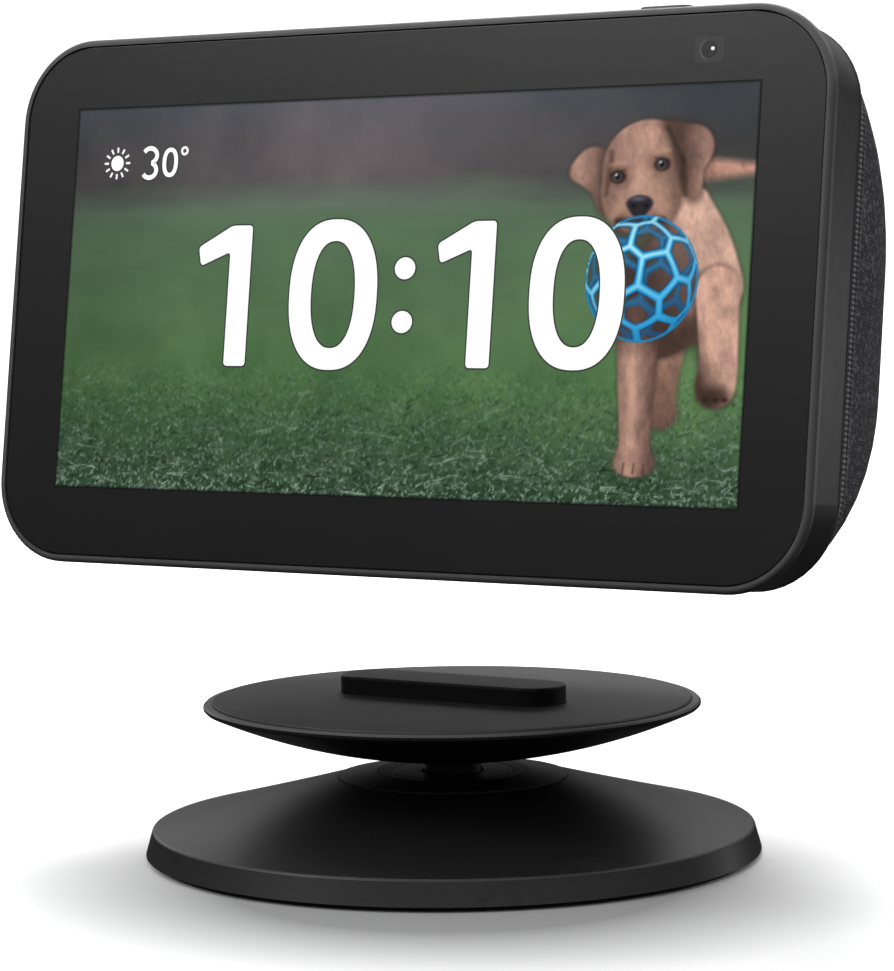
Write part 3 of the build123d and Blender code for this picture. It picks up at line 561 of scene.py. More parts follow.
def fur(p, light, dark, toward, seed):
    """Short coat: light to dark along toward, broken by fine hair and a few broad folds."""
    hair = value_noise(p.x * 2.7 + 0.9 * p.y, p.y * 1.3, seed, 3, 0.7)[..., None] - 0.5
    fold = value_noise(p.x * 0.5, p.y * 0.35, seed + 9, 3, 0.6)[..., None] - 0.5
    return between(light, dark, toward) * (1 + 0.2 * hair + 0.4 * fold)


def coat(p, shape, light, dark, toward, seed, soft=0.45):
    """A furry shape with a thin dark edge."""
    p.spot((62, 46, 40), shape - 0.22, soft + 0.5, 0.5)
    p.spot(fur(p, light, dark, toward, seed), shape, soft)


def paint_puppy(p):
    """A brown puppy trotting towards the viewer."""
    light, mid, dark = (208, 168, 150), (150, 114, 99), (78, 57, 49)
    deep = (48, 34, 28)
    tail = p.limb((50.5, 49.3), (61.2, 49.2), 2.0, 0.8)
    p.spot(fur(p, (190, 142, 124), mid, (50.2 - p.y) * 0.3, 41), tail, 1.4)
    hind = p.join([p.limb((48.6, 25), (47.9, 15), 3.0, 2.0), p.ellipse(47.6, 13.2, 2.4, 1.9)])
    coat(p, hind, mid, dark, 0.25 + (17 - p.y) * 0.06, 42, 0.9)
    chest = p.join([p.ellipse(52.2, 34.5, 6.6, 10.5, 14), p.ellipse(46.5, 30, 7.5, 8.5),
                    p.limb((51, 44), (56.0, 32), 3.0, 4.0)], 0.8)
    coat(p, chest, light, dark, (57.0 - p.x) * 0.075 + (31 - p.y) * 0.05 + 0.08, 43, 0.5)
    p.spot(deep, p.ellipse(51.6, 25.6, 3.6, 1.9, 30), 3.4, 0.6)
    lift = p.join([p.limb((56.2, 31.5), (57.0, 20.5), 3.6, 3.0), p.ellipse(56.6, 17.3, 3.1, 2.9)], 0.8)
    p.spot(deep, p.limb((53.0, 33), (54.0, 22), 0.5, 0.5), 2.6, 0.6)
    coat(p, lift, (200, 158, 140), dark, (22.5 - p.y) * 0.11 + (55.2 - p.x) * 0.22 + 0.2, 44, 0.5)
    p.spot(deep, p.ellipse(56.6, 16.0, 2.5, 1.5), 1.6, 0.75)
    for x in (55.1, 56.8, 58.3):
        p.spot((38, 30, 27), p.ellipse(x, 15.6, 0.45, 0.35), 0.4, 0.8)
    stand = p.join([p.limb((43.4, 27), (43.9, 8), 3.7, 2.4), p.ellipse(44.0, 6.0, 3.2, 1.8)], 0.8)
    shaded = np.abs(p.x - 42.8) * 0.2 + np.clip(p.y - 21, 0, 5) * 0.09
    coat(p, stand, (186, 146, 130), dark, shaded, 45)
    p.spot((214, 172, 152), p.limb((42.9, 20), (43.4, 9), 0.4, 0.4), 1.2, 0.45)
    for x in (42.2, 43.9, 45.5):
        p.spot((66, 46, 38), p.limb((x, 4.6), (x + 0.1, 6.0), 0.14, 0.1), 0.35, 0.8)
    left_ear = p.join([p.ellipse(35.0, 49.6, 3.0, 3.7, 38), p.ellipse(32.2, 49.6, 1.8, 1.5, 20),
                       p.ellipse(36.4, 45.6, 1.4, 2.6)], 0.7)
    coat(p, left_ear, (158, 124, 110), (84, 63, 55), (p.x - 32.2) * 0.2, 46)
    head = p.join([p.ellipse(43.2, 50.6, 7.2, 6.3, 8), p.ellipse(42.6, 46.2, 6.4, 5.4),
                   p.ellipse(42.9, 43.6, 5.2, 3.4)], 0.8)
    face = (np.abs(p.x - 42.4) - 2.4) * 0.13 + (46.0 - p.y) * 0.02 + 0.1
    coat(p, head, (176, 138, 122), (96, 72, 62), face, 47)
    right_ear = p.join([p.ellipse(51.0, 52.6, 3.2, 3.2, -20), p.ellipse(50.8, 48.4, 1.8, 3.4, 12),
                        p.ellipse(48.4, 55.1, 2.6, 1.1, -25)], 0.7)
    p.spot(deep, right_ear, 1.8, 0.6)
    coat(p, right_ear, (160, 124, 110), (82, 60, 52), (53.2 - p.x) * 0.24, 48)
    p.spot(deep, p.limb((46.6, 55.6), (49.4, 50.6), 0.22, 0.3), 0.8, 0.75)
    p.spot(deep, p.limb((49.4, 50.6), (50.0, 45.6), 0.3, 0.2), 0.8, 0.75)
    p.spot(deep, p.limb((37.4, 52.2), (36.8, 46.0), 0.2, 0.3), 0.9, 0.65)
    for x, y, inner in ((38.6, 48.5, 1), (45.9, 50.2, -1)):
        p.spot((100, 70, 58), p.ellipse(x + 0.3 * inner, y + 0.1, 1.9, 1.5), 1.6, 0.6)
        brow = p.limb((x - 1.3, y + 1.8), (x + 1.1, y + 2.1), 0.2, 0.16)
        p.spot((206, 164, 142), brow, 0.8, 0.55)
        p.spot((32, 24, 22), p.ellipse(x, y, 1.3, 0.98), 0.5)
        p.spot((92, 84, 86), p.ellipse(x - 0.1, y - 0.05, 0.78, 0.68), 0.5)
        p.spot((16, 14, 16), p.ellipse(x - 0.05, y, 0.46, 0.46), 0.35)
        p.spot((222, 226, 230), p.ellipse(x - 0.3, y + 0.32, 0.2, 0.17), 0.3)
        lid = p.limb((x - 1.2 * inner, y + 0.5), (x + 1.2 * inner, y + 1.05), 0.12, 0.12)
        p.spot((40, 30, 26), lid, 0.5, 0.6)
    p.spot((200, 158, 136), p.ellipse(42.4, 47.2, 1.2, 2.6), 2.2, 0.5)
    for x, turn in ((39.4, 35), (45.6, -35)):
        p.spot((192, 148, 126), p.ellipse(x, 43.6, 1.9, 1.4, turn), 1.6, 0.55)
        p.spot((96, 68, 58), p.ellipse(x, 42.2, 1.6, 0.6, turn), 1.2, 0.6)
    nose = p.join([p.ellipse(42.5, 44.5, 2.2, 1.2), p.ellipse(42.5, 43.5, 1.3, 1.2)], 0.4)
    p.spot((40, 36, 42), nose)
    p.spot((112, 110, 124), p.ellipse(42.2, 45.2, 1.2, 0.35), 0.5, 0.7)
    for x in (41.5, 43.6):
        p.spot((16, 14, 18), p.ellipse(x, 44.1, 0.4, 0.3), 0.3)
    p.spot((34, 26, 26), p.limb((39.0, 41.8), (46.6, 41.9), 0.5, 0.5), 0.8, 0.85)


def ball_centres():
    """Middles of the ball's holes: the corners of an icosahedron and of its dual."""
    golden = (1 + 5 ** 0.5) / 2
    corners = []
    for a in (-1, 1):
        for b in (-golden, golden):
            corners += [(0, a, b), (a, b, 0), (b, 0, a)]
    for a in (-1, 1):
        for b in (-1, 1):
            corners += [(a, b, c) for c in (-1, 1)]
            corners += [(0, a * golden, b / golden), (a / golden, 0, b * golden), (a * golden, b / golden, 0)]
    points = np.array(corners, float)
    points /= np.linalg.norm(points, axis=1)[:, None]
    turn = np.array(Matrix.Rotation(0.5, 3, "X") @ Matrix.Rotation(0.35, 3, "Y"))
    return points @ turn.T


def paint_ball(p):
    """An open lattice ball of blue rubber, far side seen through the near side."""
    x, y, radius = 43.5, 33.3, 9.4
    dx, dy = (p.x - x) / radius, (p.y - y) / radius
    flat = np.hypot(dx, dy)
    deep = np.sqrt(np.clip(1 - flat ** 2, 0, 1))
    middles = ball_centres()
    ball = np.clip((1 - flat) * radius / 0.25 + 0.5, 0, 1)
    p.lay((62, 46, 42), ball * 0.55)
    for side, blue, bright in ((-1, (22, 92, 146), (40, 134, 192)), (1, (34, 152, 214), (170, 238, 252))):
        point = np.stack([dx, dy, side * deep], -1)
        nearness = np.sort(point @ middles.T, axis=-1)
        edge = np.arccos(np.clip(nearness[..., -2], -1, 1)) - np.arccos(np.clip(nearness[..., -1], -1, 1))
        rib = np.clip((0.13 - edge) / 0.05 + 0.5, 0, 1) * ball
        if side > 0:
            p.lay((10, 44, 74), np.clip((0.2 - edge) / 0.06, 0, 1) * ball * 0.6)
            rib = np.maximum(rib, np.clip((flat - 0.955) / 0.02, 0, 1) * ball)
        lit = np.clip(0.55 + 0.55 * dy - 0.25 * dx, 0, 1) * np.clip(1.25 - edge / 0.075, 0, 1)
        colour = between(blue, bright, lit * 1.3)
        p.lay(colour * (1 - 0.3 * np.clip(flat - 0.6, 0, 1)[..., None]), rib * (1.0 if side > 0 else 0.75))


def picture_material():
    """The painted colours as light from behind the glass, in faint rows."""
    s = Shader("lit_picture", (0.02, 0.02, 0.02), 0.32, specular=0.12)
    hue = s.node("ShaderNodeVertexColor", layer_name="painted").outputs["Color"]
    rows = s.node("ShaderNodeTexWave", Scale=900.0, Distortion=0.0)
    s.link(s.object_place(), rows.inputs["Vector"])
    glow = s.stretch(rows.outputs["Fac"], 0.0, 1.0, 0.97, 1.03)
    dim = s.node("ShaderNodeVectorMath", operation="SCALE")
    s.link(hue, dim.inputs[0])
    dim.inputs["Scale"].default_value = 0.03
    s.set("Base Color", dim.outputs[0])
    s.link(hue, s.bsdf.inputs["Emission Color"])
    s.set("Emission Strength", s.times(glow, 0.97))
    return s.material


def build_picture():
    """The wallpaper as a fine grid of painted points lying on the glass."""
    p = Painting(PICTURE_WIDTH, PICTURE_HEIGHT, CELL)
    paint_lawn(p)
    paint_blades(p, 9500)
    aside, raised = 1.0, 0.3  # of the puppy's place from the numbers it's drawn with
    p.shift(aside, raised)
    paint_puppy(p)
    paint_ball(p)
    p.shift(-aside, -raised)
    edge = np.minimum(PICTURE_WIDTH / 2 - np.abs(p.x), np.minimum(p.y, PICTURE_HEIGHT - p.y))
    p.lay((14, 15, 15), np.clip(0.5 - (edge - 0.3) / 0.4, 0, 1))
    rows, columns = p.x.shape
    points = [at(x, PICTURE_LOW + y, PRINT_DEPTH) for x, y in zip(p.x.ravel(), p.y.ravel())]
    faces = []
    for j in range(rows - 1):
        row = range(j * columns, (j + 1) * columns - 1)
        faces += [(k, k + 1, k + columns + 1, k + columns) for k in row]
    piece = add_mesh("lit_picture", points, faces, picture_material())
    layer = piece.data.color_attributes.new("painted", "FLOAT_COLOR", "POINT")
    shades = np.ones((rows * columns, 4))
    shades[:, :3] = linear(*np.clip(p.colour, 0, 255).reshape(-1, 3).T).T
    layer.data.foreach_set("color", shades.ravel())


def glow_material(name, colour, strength):
    """An even glow, for figures on the screen and reflections on the lens."""
    s = Shader(name, (0.02, 0.02, 0.02), 0.3)
    cloud = s.noise(300.0, 2.0)
    s.set("Emission Color", tuple(colour) + (1.0,))
    s.set("Emission Strength", s.stretch(cloud, 0.0, 1.0, strength * 0.98, strength * 1.02))
    return s.material


def one(x):
    """The figure 1 as an outline, its right edge at x."""
    left, top, foot = x - 10.3, 42.6, 20.2
    return rounded([(left, 39.2), (x - 3.9, top), (x, top), (x, foot), (x - 4.1, foot), (x - 4.1, 38.4),
                    (left + 0.6, 36.2)], 0.7)


def build_clock():
    """The time, the temperature and a sun, drawn as thin white plates with a dark rim."""
    white = glow_material("clock_white", (1.0, 1.0, 1.0), 1.0)
    rim = glow_material("clock_rim", linear(34, 46, 34), 0.8)
    rim_width = 0.26
    sun = (-53.8, 53.2)
    shapes = {
        "clock_figure_1": [one(-25.9)],
        "clock_figure_2": [oval(-9.9, 31.5, 8.2, 11.8, 2.35), oval(-9.9, 31.5, 4.1, 8.4, 2.3)],
        "clock_figure_3": [one(19.2)],
        "clock_figure_4": [oval(33.7, 31.5, 8.1, 11.5, 2.35), oval(33.7, 31.5, 4.0, 8.1, 2.3)],
        "clock_dot_high": [oval(3.2, 35.5, 1.85, 1.7)],
        "clock_dot_low": [oval(3.2, 27.2, 1.85, 1.7)],
        "weather_figure_1": three(-47.2, 53.1, 2.4),
        "weather_figure_2": [oval(-43.1, 53.1, 1.55, 2.4, 2.3), oval(-43.1, 53.1, 0.8, 1.7, 2.3)],
        "weather_degree": [oval(-40.3, 54.9, 0.75, 0.75), oval(-40.3, 54.9, 0.35, 0.35)],
        "weather_sun": [oval(*sun, 1.25, 1.25)],
    }
    rays, inner, outer, half = 12, 1.75, 2.6, 0.17
    for i in range(rays):
        c, s = cos(tau * i / rays), sin(tau * i / rays)
        corners = ((inner, -half), (outer, -half), (outer, half), (inner, half))
        ray = [(sun[0] + r * c - w * s, sun[1] + r * s + w * c) for r, w in corners]
        shapes[f"weather_ray_{i:02d}"] = [ray]
    for name, outlines in shapes.items():
        placed = [[(x, v + PICTURE_LOW) for x, v in outline] for outline in outlines]
        flat_shape(name, placed, 0.03, white)
        if "figure" in name or "dot" in name:
            wider = [grow(placed[0], rim_width)] + [grow(outline, -rim_width) for outline in placed[1:]]
            flat_shape(name + "_rim", wider, 0.015, rim)


def grow(outline, by):
    """The outline moved out by a small distance, or inwards where by is negative."""
    points = [Vector(p) for p in outline]
    area = sum(a.x * b.y - b.x * a.y for a, b in zip(points, points[1:] + points[:1]))
    turn = 1 if area > 0 else -1
    moved = []
    for i, p in enumerate(points):
        along = points[(i + 1) % len(points)] - points[i - 1]
        if along.length > 1e-9:
            p = p + Vector((along.y, -along.x)).normalized() * by * turn
        moved.append(tuple(p))
    return moved


def three(x, v, half):
    """The figure 3 as one thick bent stroke about (x, v)."""
    radius, thick, steps = half / 2, 0.38, 14
    line = []
    for centre, first, last in ((v + radius, 150, -66), (v - radius, 66, -150)):
        for k in range(steps + 1):
            a = radians(first + (last - first) * k / steps)
            line.append(Vector((x + 1.15 * radius * cos(a), centre + radius * sin(a))))
    outer, inner = [], []
    for i, p in enumerate(line):
        along = line[min(i + 1, len(line) - 1)] - line[max(i - 1, 0)]
        side = Vector((along.y, -along.x)).normalized() * thick if along.length else Vector((thick, 0))
        outer.append(tuple(p - side))
        inner.append(tuple(p + side))
    return [outer + inner[::-1]]


# ------------------------ the knitted back
FRONT_EDGE, REAR_FACE = span("fabric_cover")[4], 58.0
# (depth, width, lowest, highest, corner radius) of the body that the cloth is stretched over
body_sections = np.array([
    (FRONT_EDGE, 146.0, 1.0, 85.0, 13.0),
    (20.0, 145.2, 1.9, 82.4, 19.0),
    (30.0, 140.0, 3.6, 77.5, 25.0),
    (40.0, 126.0, 6.4, 70.0, 27.0),
    (50.0, 98.0, 11.5, 59.5, 22.0),
    (REAR_FACE, 60.0, 20.5, 46.5, 12.5),
])


def natural_spline(places, values, wanted):
    """A natural cubic spline through values at places."""
    n = len(places)
    h = np.diff(places)
    matrix = np.eye(n)
    right = np.zeros(n)
    for i in range(1, n - 1):
        matrix[i, i - 1:i + 2] = h[i - 1], 2 * (h[i - 1] + h[i]), h[i]
        right[i] = 6 * ((values[i + 1] - values[i]) / h[i] - (values[i] - values[i - 1]) / h[i - 1])
    curve = np.linalg.solve(matrix, right)
    k = np.clip(np.searchsorted(places, wanted) - 1, 0, n - 2)
    a, b = (places[k + 1] - wanted) / h[k], (wanted - places[k]) / h[k]
    bend = ((a ** 3 - a) * curve[k] + (b ** 3 - b) * curve[k + 1]) * h[k] ** 2 / 6
    return a * values[k] + b * values[k + 1] + bend


def section_outline(width, low, high, radius):
    """A rounded rectangle from the bottom centre, anticlockwise seen from the front, as (x, v)."""
    side_points, corner_points = 16, 12
    half, middle = width / 2, (low + high) / 2
    rise = (high - low) / 2
    points = [(x, low) for x in np.linspace(0, half - radius, side_points, endpoint=False)]
    corners = ((half - radius, low + radius, -90), (half - radius, high - radius, 0),
               (radius - half, high - radius, 90), (radius - half, low + radius, 180))
    for i, (x, v, start) in enumerate(corners):
        arc = [radians(start + 90 * k / corner_points) for k in range(corner_points)]
        points += [(x + radius * cos(a), v + radius * sin(a)) for a in arc]
        if i in (0, 2):
            side = 1 if i == 0 else -1
            run = np.linspace(middle - side * (rise - radius), middle + side * (rise - radius), side_points,
                              endpoint=False)
            points += [(side * half, t) for t in run]
        elif i == 1:
            run = np.linspace(half - radius, radius - half, 2 * side_points, endpoint=False)
            points += [(x, high) for x in run]
    points += [(x, low) for x in np.linspace(radius - half, 0, side_points, endpoint=False)]
    return points


def cover_rows(inset):
    """Rows of (x, v, depth) over the body, from the front edge to the middle of the rear face."""
    # rows lie closer together where the body turns in to its rear face
    depths = np.concatenate([np.linspace(FRONT_EDGE, 50, 52), np.linspace(50.6, REAR_FACE, 16)])
    fitted = [natural_spline(body_sections[:, 0], body_sections[:, k], depths) for k in range(1, 5)]
    rows = []
    for depth, width, low, high, radius in zip(depths, *fitted):
        outline = section_outline(width - 2 * inset, low + inset, high - inset, radius - inset)
        rows.append([(x, v, min(depth, REAR_FACE - inset)) for x, v in outline])
    rim = np.array(rows[-1])
    middle = rim.mean(axis=0)
    for shrink in (0.95, 0.88, 0.79, 0.69, 0.58, 0.46, 0.34, 0.22, 0.1):
        rows.append(middle + (rim - middle) * shrink)
    return np.array(rows), middle


def soften(rows, rounds):
    """Evens out the rows between the front edge and the rear face, so that the cloth spans smoothly."""
    for _ in range(rounds):
        around = (np.roll(rows, 1, axis=1) + np.roll(rows, -1, axis=1)) / 2
        smooth = rows.copy()
        smooth[1:-1] = 0.5 * rows[1:-1] + 0.25 * (rows[:-2] + rows[2:]) * 0.6 + around[1:-1] * 0.2
        rows = smooth
    return rows


def build_cover():
    """The knit as a closed skin stretched over the body, cut out for the sole and the socket panel."""
    thickness = 0.55
    points = []
    for inset in (0.0, thickness):
        skin, tip = cover_rows(inset)
        rows, columns = skin.shape[:2]
        points += [at(*p) for p in soften(skin, 6).reshape(-1, 3)] + [at(*tip)]
    shift = rows * columns + 1
    faces = []
    for j in range(rows - 1):
        for i in range(columns):
            k = (i + 1) % columns
            a, b, c, d = j * columns + i, j * columns + k, (j + 1) * columns + k, (j + 1) * columns + i
            faces += [(a, b, c, d), (d + shift, c + shift, b + shift, a + shift)]
    edge = (rows - 1) * columns
    for i in range(columns):
        k = (i + 1) % columns
        faces.append((edge + i, edge + k, rows * columns))
        faces.append((edge + k + shift, edge + i + shift, rows * columns + shift))
        faces.append((k, i, i + shift, k + shift))
    piece = add_mesh("knit_cover", points, faces, knit("charcoal_knit"))
    cut_out(piece)
    map_cloth(piece)
    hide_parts("fabric_cover")


def cutter(name, points_low, points_high):
    """A closed prism between two matching outlines."""
    count = len(points_low)
    faces = [tuple(range(count))[::-1], tuple(range(count, 2 * count))]
    faces += [(i, (i + 1) % count, (i + 1) % count + count, i + count) for i in range(count)]
    mesh = bpy.data.meshes.new(name)
    mesh.from_pydata([tuple(p) for p in points_low + points_high], [], faces)
    fix = bmesh.new()
    fix.from_mesh(mesh)
    bmesh.ops.recalc_face_normals(fix, faces=fix.faces)
    fix.to_mesh(mesh)
    fix.free()
    return new_object(name, mesh)


def cut_out(piece):
    """Cuts the cover round the sole and the socket panel, with the CAD model's clearances."""
    low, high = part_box("bottom_plate")
    gap = 0.15 * MM
    x, y0, y1 = high.x + gap, low.y - gap, high.y + gap
    outline = rounded([(-x, y0), (x, y0), (x, y1), (-x, y1)], 6 * MM)
    sole_cut = cutter("sole_cut", [Vector((a, b, low.z - 10 * MM)) for a, b in outline],
                      [Vector((a, b, high.z + 2 * MM)) for a, b in outline])
    left, right, low_v, high_v = span("port_panel")[:4]
    pill = oval((left + right) / 2, (low_v + high_v) / 2 + 0.05, 18.3, 6.8, 4.0)
    panel_cut = cutter("panel_cut", [at(a, b, REAR_FACE - 8) for a, b in pill],
                       [at(a, b, REAR_FACE + 4) for a, b in pill])
    for tool in (sole_cut, panel_cut):
        modifier = piece.modifiers.new(tool.name, "BOOLEAN")
        modifier.operation = "DIFFERENCE"
        modifier.solver = "EXACT"
        modifier.object = tool
    mesh = baked(piece)
    piece.modifiers.clear()
    piece.data = mesh
    for tool in (sole_cut, panel_cut):
        bpy.data.objects.remove(tool)
    mesh.shade_smooth()


def map_cloth(piece):
    """Two maps in millimetres: the knit laid on from the nearest side, and the hem round the front edge."""
    mesh = piece.data
    knit_map = mesh.uv_layers.new(name="cloth")
    hem_map = mesh.uv_layers.new(name="hem")
    for polygon in mesh.polygons:
        n = polygon.normal
        side, top, rear = abs(n.dot(RIGHT)), abs(n.dot(UP)), abs(n.dot(OUT))
        for index in polygon.loop_indices:
            place = (mesh.vertices[mesh.loops[index].vertex_index].co - FACE) / MM
            x, v, d = place.dot(RIGHT), place.dot(UP), -place.dot(OUT)
            if side > max(top, rear):
                flat = (d, v)
            elif top > rear:
                flat = (x, d)
            else:
                flat = (x, v)
            knit_map.data[index].uv = flat
            hem_map.data[index].uv = (x, d - FRONT_EDGE) if top > side else (v, d - FRONT_EDGE)


def build_hem():
    """The knit's front edge, rolled over a cord where it meets the side band."""
    path = [at(x, v, FRONT_EDGE + 0.32) for x, v in section_outline(145.7, 1.15, 84.85, 12.9)]
    radius, sides = 0.34 * MM, 10
    points, faces = [], []
    for i, p in enumerate(path):
        n = (i + 1) % len(path)
        along = (path[n] - path[i - 1]).normalized()
        first = along.cross(OUT).normalized()
        second = along.cross(first)
        for k in range(sides):
            a, m = tau * k / sides, (k + 1) % sides
            points.append(p + (first * cos(a) + second * sin(a)) * radius)
            faces.append((i * sides + k, i * sides + m, n * sides + m, n * sides + k))
    add_mesh("cover_hem", points, faces, thread("hem_yarn"))


# ------------------------ small details on the glass
def build_camera_window():
    """The camera's round window on a faint square, with a painted glint and a painted arc of reflected light,
    both flat shapes that glow.
    """
    x0, x1, v0, v1 = span("camera_lens")[:4]
    x, v = (x0 + x1) / 2, (v0 + v1) / 2
    surround = Shader("camera_surround", linear(56, 56, 58), 0.45)
    surround.set("Roughness", surround.stretch(surround.noise(900.0), 0.3, 0.7, 0.35, 0.5))
    iris = Shader("camera_iris", linear(12, 12, 16), 0.06, specular=0.8)
    iris.tint(iris.cells(2200.0), 0.7, 2.0)
    iris.set("Coat Weight", 1.0)
    glint = glow_material("camera_glint", linear(236, 240, 246), 1.0)
    arc = glow_material("camera_reflected_arc", linear(92, 94, 100), 0.7)
    flat_shape("camera_surround", [oval(x, v, 2.45, 2.0, 5.0)], 0.0, surround.material)
    flat_shape("camera_iris", [oval(x, v, 1.25, 1.25)], 0.02, iris.material)
    flat_shape("camera_glint", [oval(x + 0.55, v + 0.1, 0.3, 0.28)], 0.04, glint)
    sweep = [radians(a) for a in range(110, 251, 10)]
    crescent = [(x + 1.6 * cos(a), v + 1.6 * sin(a)) for a in sweep]
    crescent += [(x + 1.45 * cos(a), v + 1.45 * sin(a)) for a in reversed(sweep)]
    flat_shape("camera_reflected_arc", [crescent], 0.03, arc)


# ------------------------ finishes of the CAD nodes
def finish_nodes():
    """Gives every CAD node its finish, except the plain cover that the knit replaces."""
    stand = moulded("stand_black", linear(24, 24, 25), 0.4, 0.012, edge_light=1.6)
    trim = moulded("collar_black", linear(27, 27, 28), 0.36, 0.008)
    hidden = moulded("hidden_black", linear(46, 46, 47), 0.5)
    bezel = moulded("bezel_charcoal", linear(78, 78, 79), 0.42, 0.01)
    band = moulded("band_charcoal", linear(40, 40, 41), 0.36, 0.008)
    controls = moulded("control_charcoal", linear(42, 42, 43), 0.4, 0.01)
    plate = moulded("plate_satin", linear(44, 44, 45), 0.5, 0.01, edge_light=1.3)
    # the key and the dish get painted shade: lighter on top, near black on their sides and undersides
    key = top_lit("key_satin_painted_shade", linear(44, 44, 45), 0.5)
    dish = top_lit("dish_painted_shade", linear(86, 86, 87), 0.42)
    soft = rubber("foot_rubber", linear(34, 34, 34))
    steel = metal("zinc_steel", (0.56, 0.56, 0.57), 0.28)
    nickel = metal("nickel", (0.68, 0.66, 0.62), 0.16, brushed=False)
    alloy = metal("stamped_alloy", (0.62, 0.63, 0.65), 0.34)
    gold = metal("contact_gold", (0.72, 0.52, 0.24), 0.25, brushed=False)
    board = circuit("solder_mask", (0.02, 0.12, 0.06))
    finishes = {
        stand: ["base_shell", "swivel_cup"],
        dish: ["plate_dish"],
        trim: ["base_collar", "neck_cap", "plate_neck"],
        hidden: ["bottom_cover", "bottom_plate", "speaker_chamber", "rear_housing", "port_panel",
                 "lcd_panel", "touch_film", "camera_module", "dc_jack", "board_chips", "tact_switches"],
        bezel: ["front_bezel"],
        band: ["side_band"],
        controls: ["mic_button", "volume_down_button", "volume_up_button", "shutter_knob", "shutter_blade"],
        plate: ["plate_pad"],
        key: ["plate_disc"],
        soft: ["foot_pad", "sole_pad", "speaker_surround", "power_cable"],
        steel: ["base_screws", "swivel_screw", "hinge_pin", "neck_screws", "plate_screws", "frame_screws",
                "board_screws", "speaker_screws", "sole_screws", "dock_steel", "shield_can", "backlight_tray",
                "usb_port"],
        nickel: ["plate_magnets", "speaker_magnet"],
        alloy: ["inner_frame", "heat_spreader", "speaker_basket"],
        gold: ["lcd_ribbon", "antennas", "microphones"],
        board: ["main_board", "port_board", "button_board"],
        casting("ballast_casting", (0.12, 0.12, 0.125)): ["ballast_ring"],
        moulded("nylon", (0.6, 0.58, 0.52), 0.45): ["swivel_washer"],
        moulded("paper_cone", linear(38, 38, 38), 0.85, 0.05, 1200.0): ["speaker_cone"],
        black_glass("black_glass"): ["cover_glass", "camera_lens"],
    }
    for material, names in finishes.items():
        for name in names:
            mesh = nodes[name].data
            mesh.materials.clear()
            mesh.materials.append(material)
    left = set(nodes) - {n for names in finishes.values() for n in names} - {"fabric_cover"}
    assert not left, left


# ------------------------ studio and camera
def build_stage():
    """A pale floor that curves up into a backdrop behind the object."""
    half_width, front, back, height, bend = 3.0, -2.5, 1.6, 2.5, 0.8
    clearance = 0.02 * MM
    profile = [(front, 0.0), (back - bend, 0.0)]
    profile += [(back - bend + bend * sin(a), bend - bend * cos(a)) for a in np.linspace(0.1, pi / 2, 16)]
    profile.append((back, height))
    points = [(x, y, z - clearance) for y, z in profile for x in (-half_width, half_width)]
    faces = [(2 * i, 2 * i + 1, 2 * i + 3, 2 * i + 2) for i in range(len(profile) - 1)]
    mesh = bpy.data.meshes.new("studio_floor")
    mesh.from_pydata(points, [], faces)
    mesh.shade_smooth()
    floor = new_object("studio_floor", mesh)
    # the paper carries a painted shadow: its colour and glow are darker under the base and to its front, and
    # its glow rises towards the backdrop
    paper = Shader("studio_paper", (0.93, 0.93, 0.93), 0.9, specular=0.1)
    apart = paper.node("ShaderNodeVectorMath", operation="DISTANCE")
    paper.link(paper.object_place(), apart.inputs[0])
    apart.inputs[1].default_value = (0.015, -0.024, 0.0)
    away = apart.outputs["Value"]
    shadow_inner, shadow_outer = 0.034, 0.068
    lit = paper.stretch(away, shadow_inner, shadow_outer)
    paper.tint(paper.add(paper.math("POWER", lit, 0.8), paper.times(paper.noise(3.0), 0.01)), 0.38, 1.0)
    paper.set("Emission Color", (1.0, 1.0, 1.0, 1.0))
    paper.set("Emission Strength", paper.times(lit, paper.stretch(away, 0.05, 0.3, 0.1, 0.6)))
    mesh.materials.append(paper.material)
    # the object doesn't mirror the white paper, which keeps its black plastic deep
    floor.visible_glossy = False
    floor.visible_diffuse = False


def area_light(name, place, target, size, watts):
    """A square lamp at a place in metres, turned to a target."""
    light = bpy.data.lights.new(name, "AREA")
    light.size = size
    light.energy = watts
    lamp = new_object(name, light)
    lamp.location = place
    lamp.rotation_euler = (Vector(target) - Vector(place)).to_track_quat("-Z", "Y").to_euler()


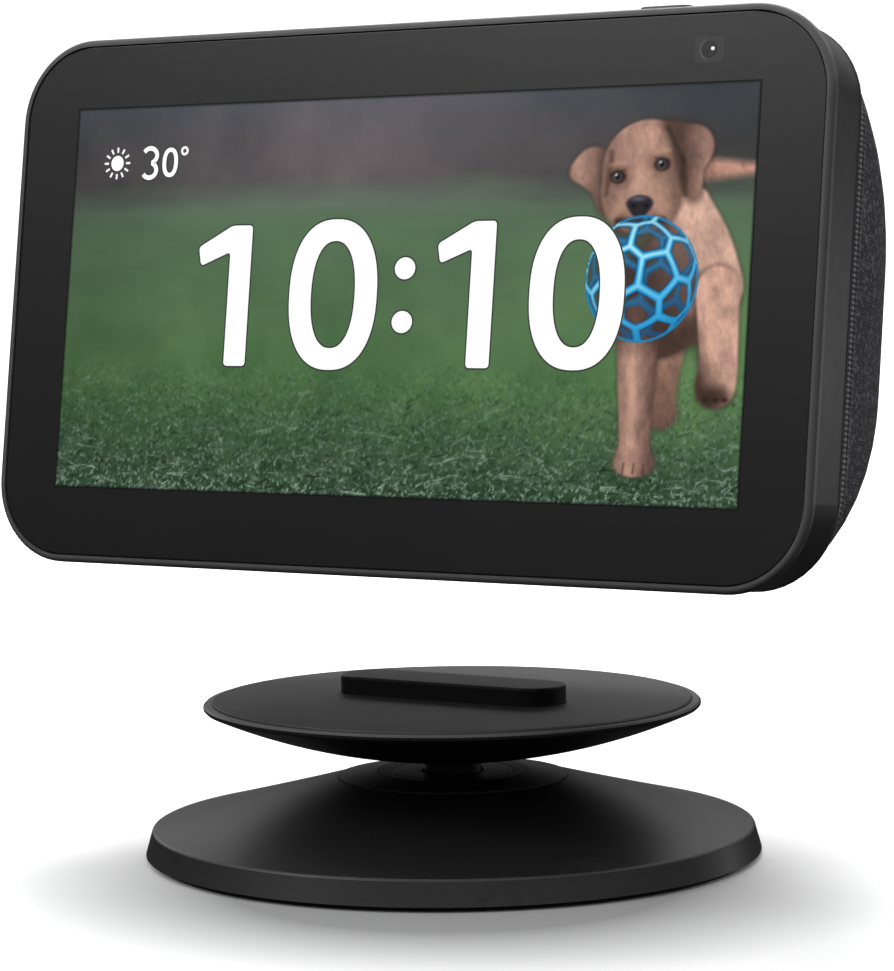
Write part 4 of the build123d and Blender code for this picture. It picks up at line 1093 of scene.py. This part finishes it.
def build_lights():
    """A white world that mirrors as a dark floor under a pale sky, and four lamps."""
    world = bpy.data.worlds.new("studio_world")
    bpy.context.scene.world = world
    world.use_nodes = True
    tree = world.node_tree
    place = tree.nodes.new("ShaderNodeTexCoord")
    split = tree.nodes.new("ShaderNodeSeparateXYZ")
    ramp = tree.nodes.new("ShaderNodeValToRGB")
    tree.links.new(place.outputs["Generated"], split.inputs[0])
    tree.links.new(split.outputs["Z"], ramp.inputs[0])
    stops = ((0.0, 0.03), (0.06, 0.1), (0.2, 0.16), (0.36, 0.6), (0.6, 1.0))
    while len(ramp.color_ramp.elements) < len(stops):
        ramp.color_ramp.elements.new(0.5)
    for element, (height, light) in zip(ramp.color_ramp.elements, stops):
        element.position, element.color = height, (light, light, light * 1.01, 1)
    # the camera sees plain white past the paper's edge, and only reflections see the ramp
    path = tree.nodes.new("ShaderNodeLightPath")
    mirrored, seen, light = colour_mix(tree, path.outputs["Is Camera Ray"])
    tree.links.new(ramp.outputs[0], mirrored)
    seen.default_value = (1.0, 1.0, 1.0, 1.0)
    tree.links.new(light, tree.nodes["Background"].inputs["Color"])
    tree.nodes["Background"].inputs["Strength"].default_value = 1.0
    middle, right_side = (0.0, 0.0, 0.07), (0.0735, -0.015, 0.085)
    area_light("key", (-0.5, -0.75, 0.75), middle, 0.5, 3.0)
    area_light("top", (-0.25, 0.4, 0.9), middle, 0.4, 5.0)
    area_light("side_glow", (0.41, 0.71, 0.045), right_side, 0.05, 0.12)
    area_light("left_glow", (-0.8, 0.5, 0.3), middle, 0.3, 0.3)


def build_camera():
    """The camera at the photograph's viewing angle."""
    azimuth, pitch, roll = radians(31.89), radians(4.14), radians(-0.74)
    place = Vector((0.2706, -0.4356, 0.096))
    forward = Vector((-sin(azimuth) * cos(pitch), cos(azimuth) * cos(pitch), -sin(pitch)))
    level = Vector((cos(azimuth), sin(azimuth), 0.0))
    above = level.cross(forward)
    right = level * cos(roll) + above * sin(roll)
    up = above * cos(roll) - level * sin(roll)
    data = bpy.data.cameras.new("camera")
    data.sensor_width = 36.0
    data.lens = 119.5
    data.clip_start = 0.01
    camera = new_object("camera", data)
    turn = Matrix((right, up, -forward)).transposed().to_4x4()
    camera.matrix_world = Matrix.Translation(place) @ turn
    bpy.context.scene.camera = camera


finish_nodes()
build_picture()
build_clock()
build_cover()
build_hem()
build_camera_window()
build_stage()
build_lights()
build_camera()
bpy.context.scene.view_settings.view_transform = "Standard"
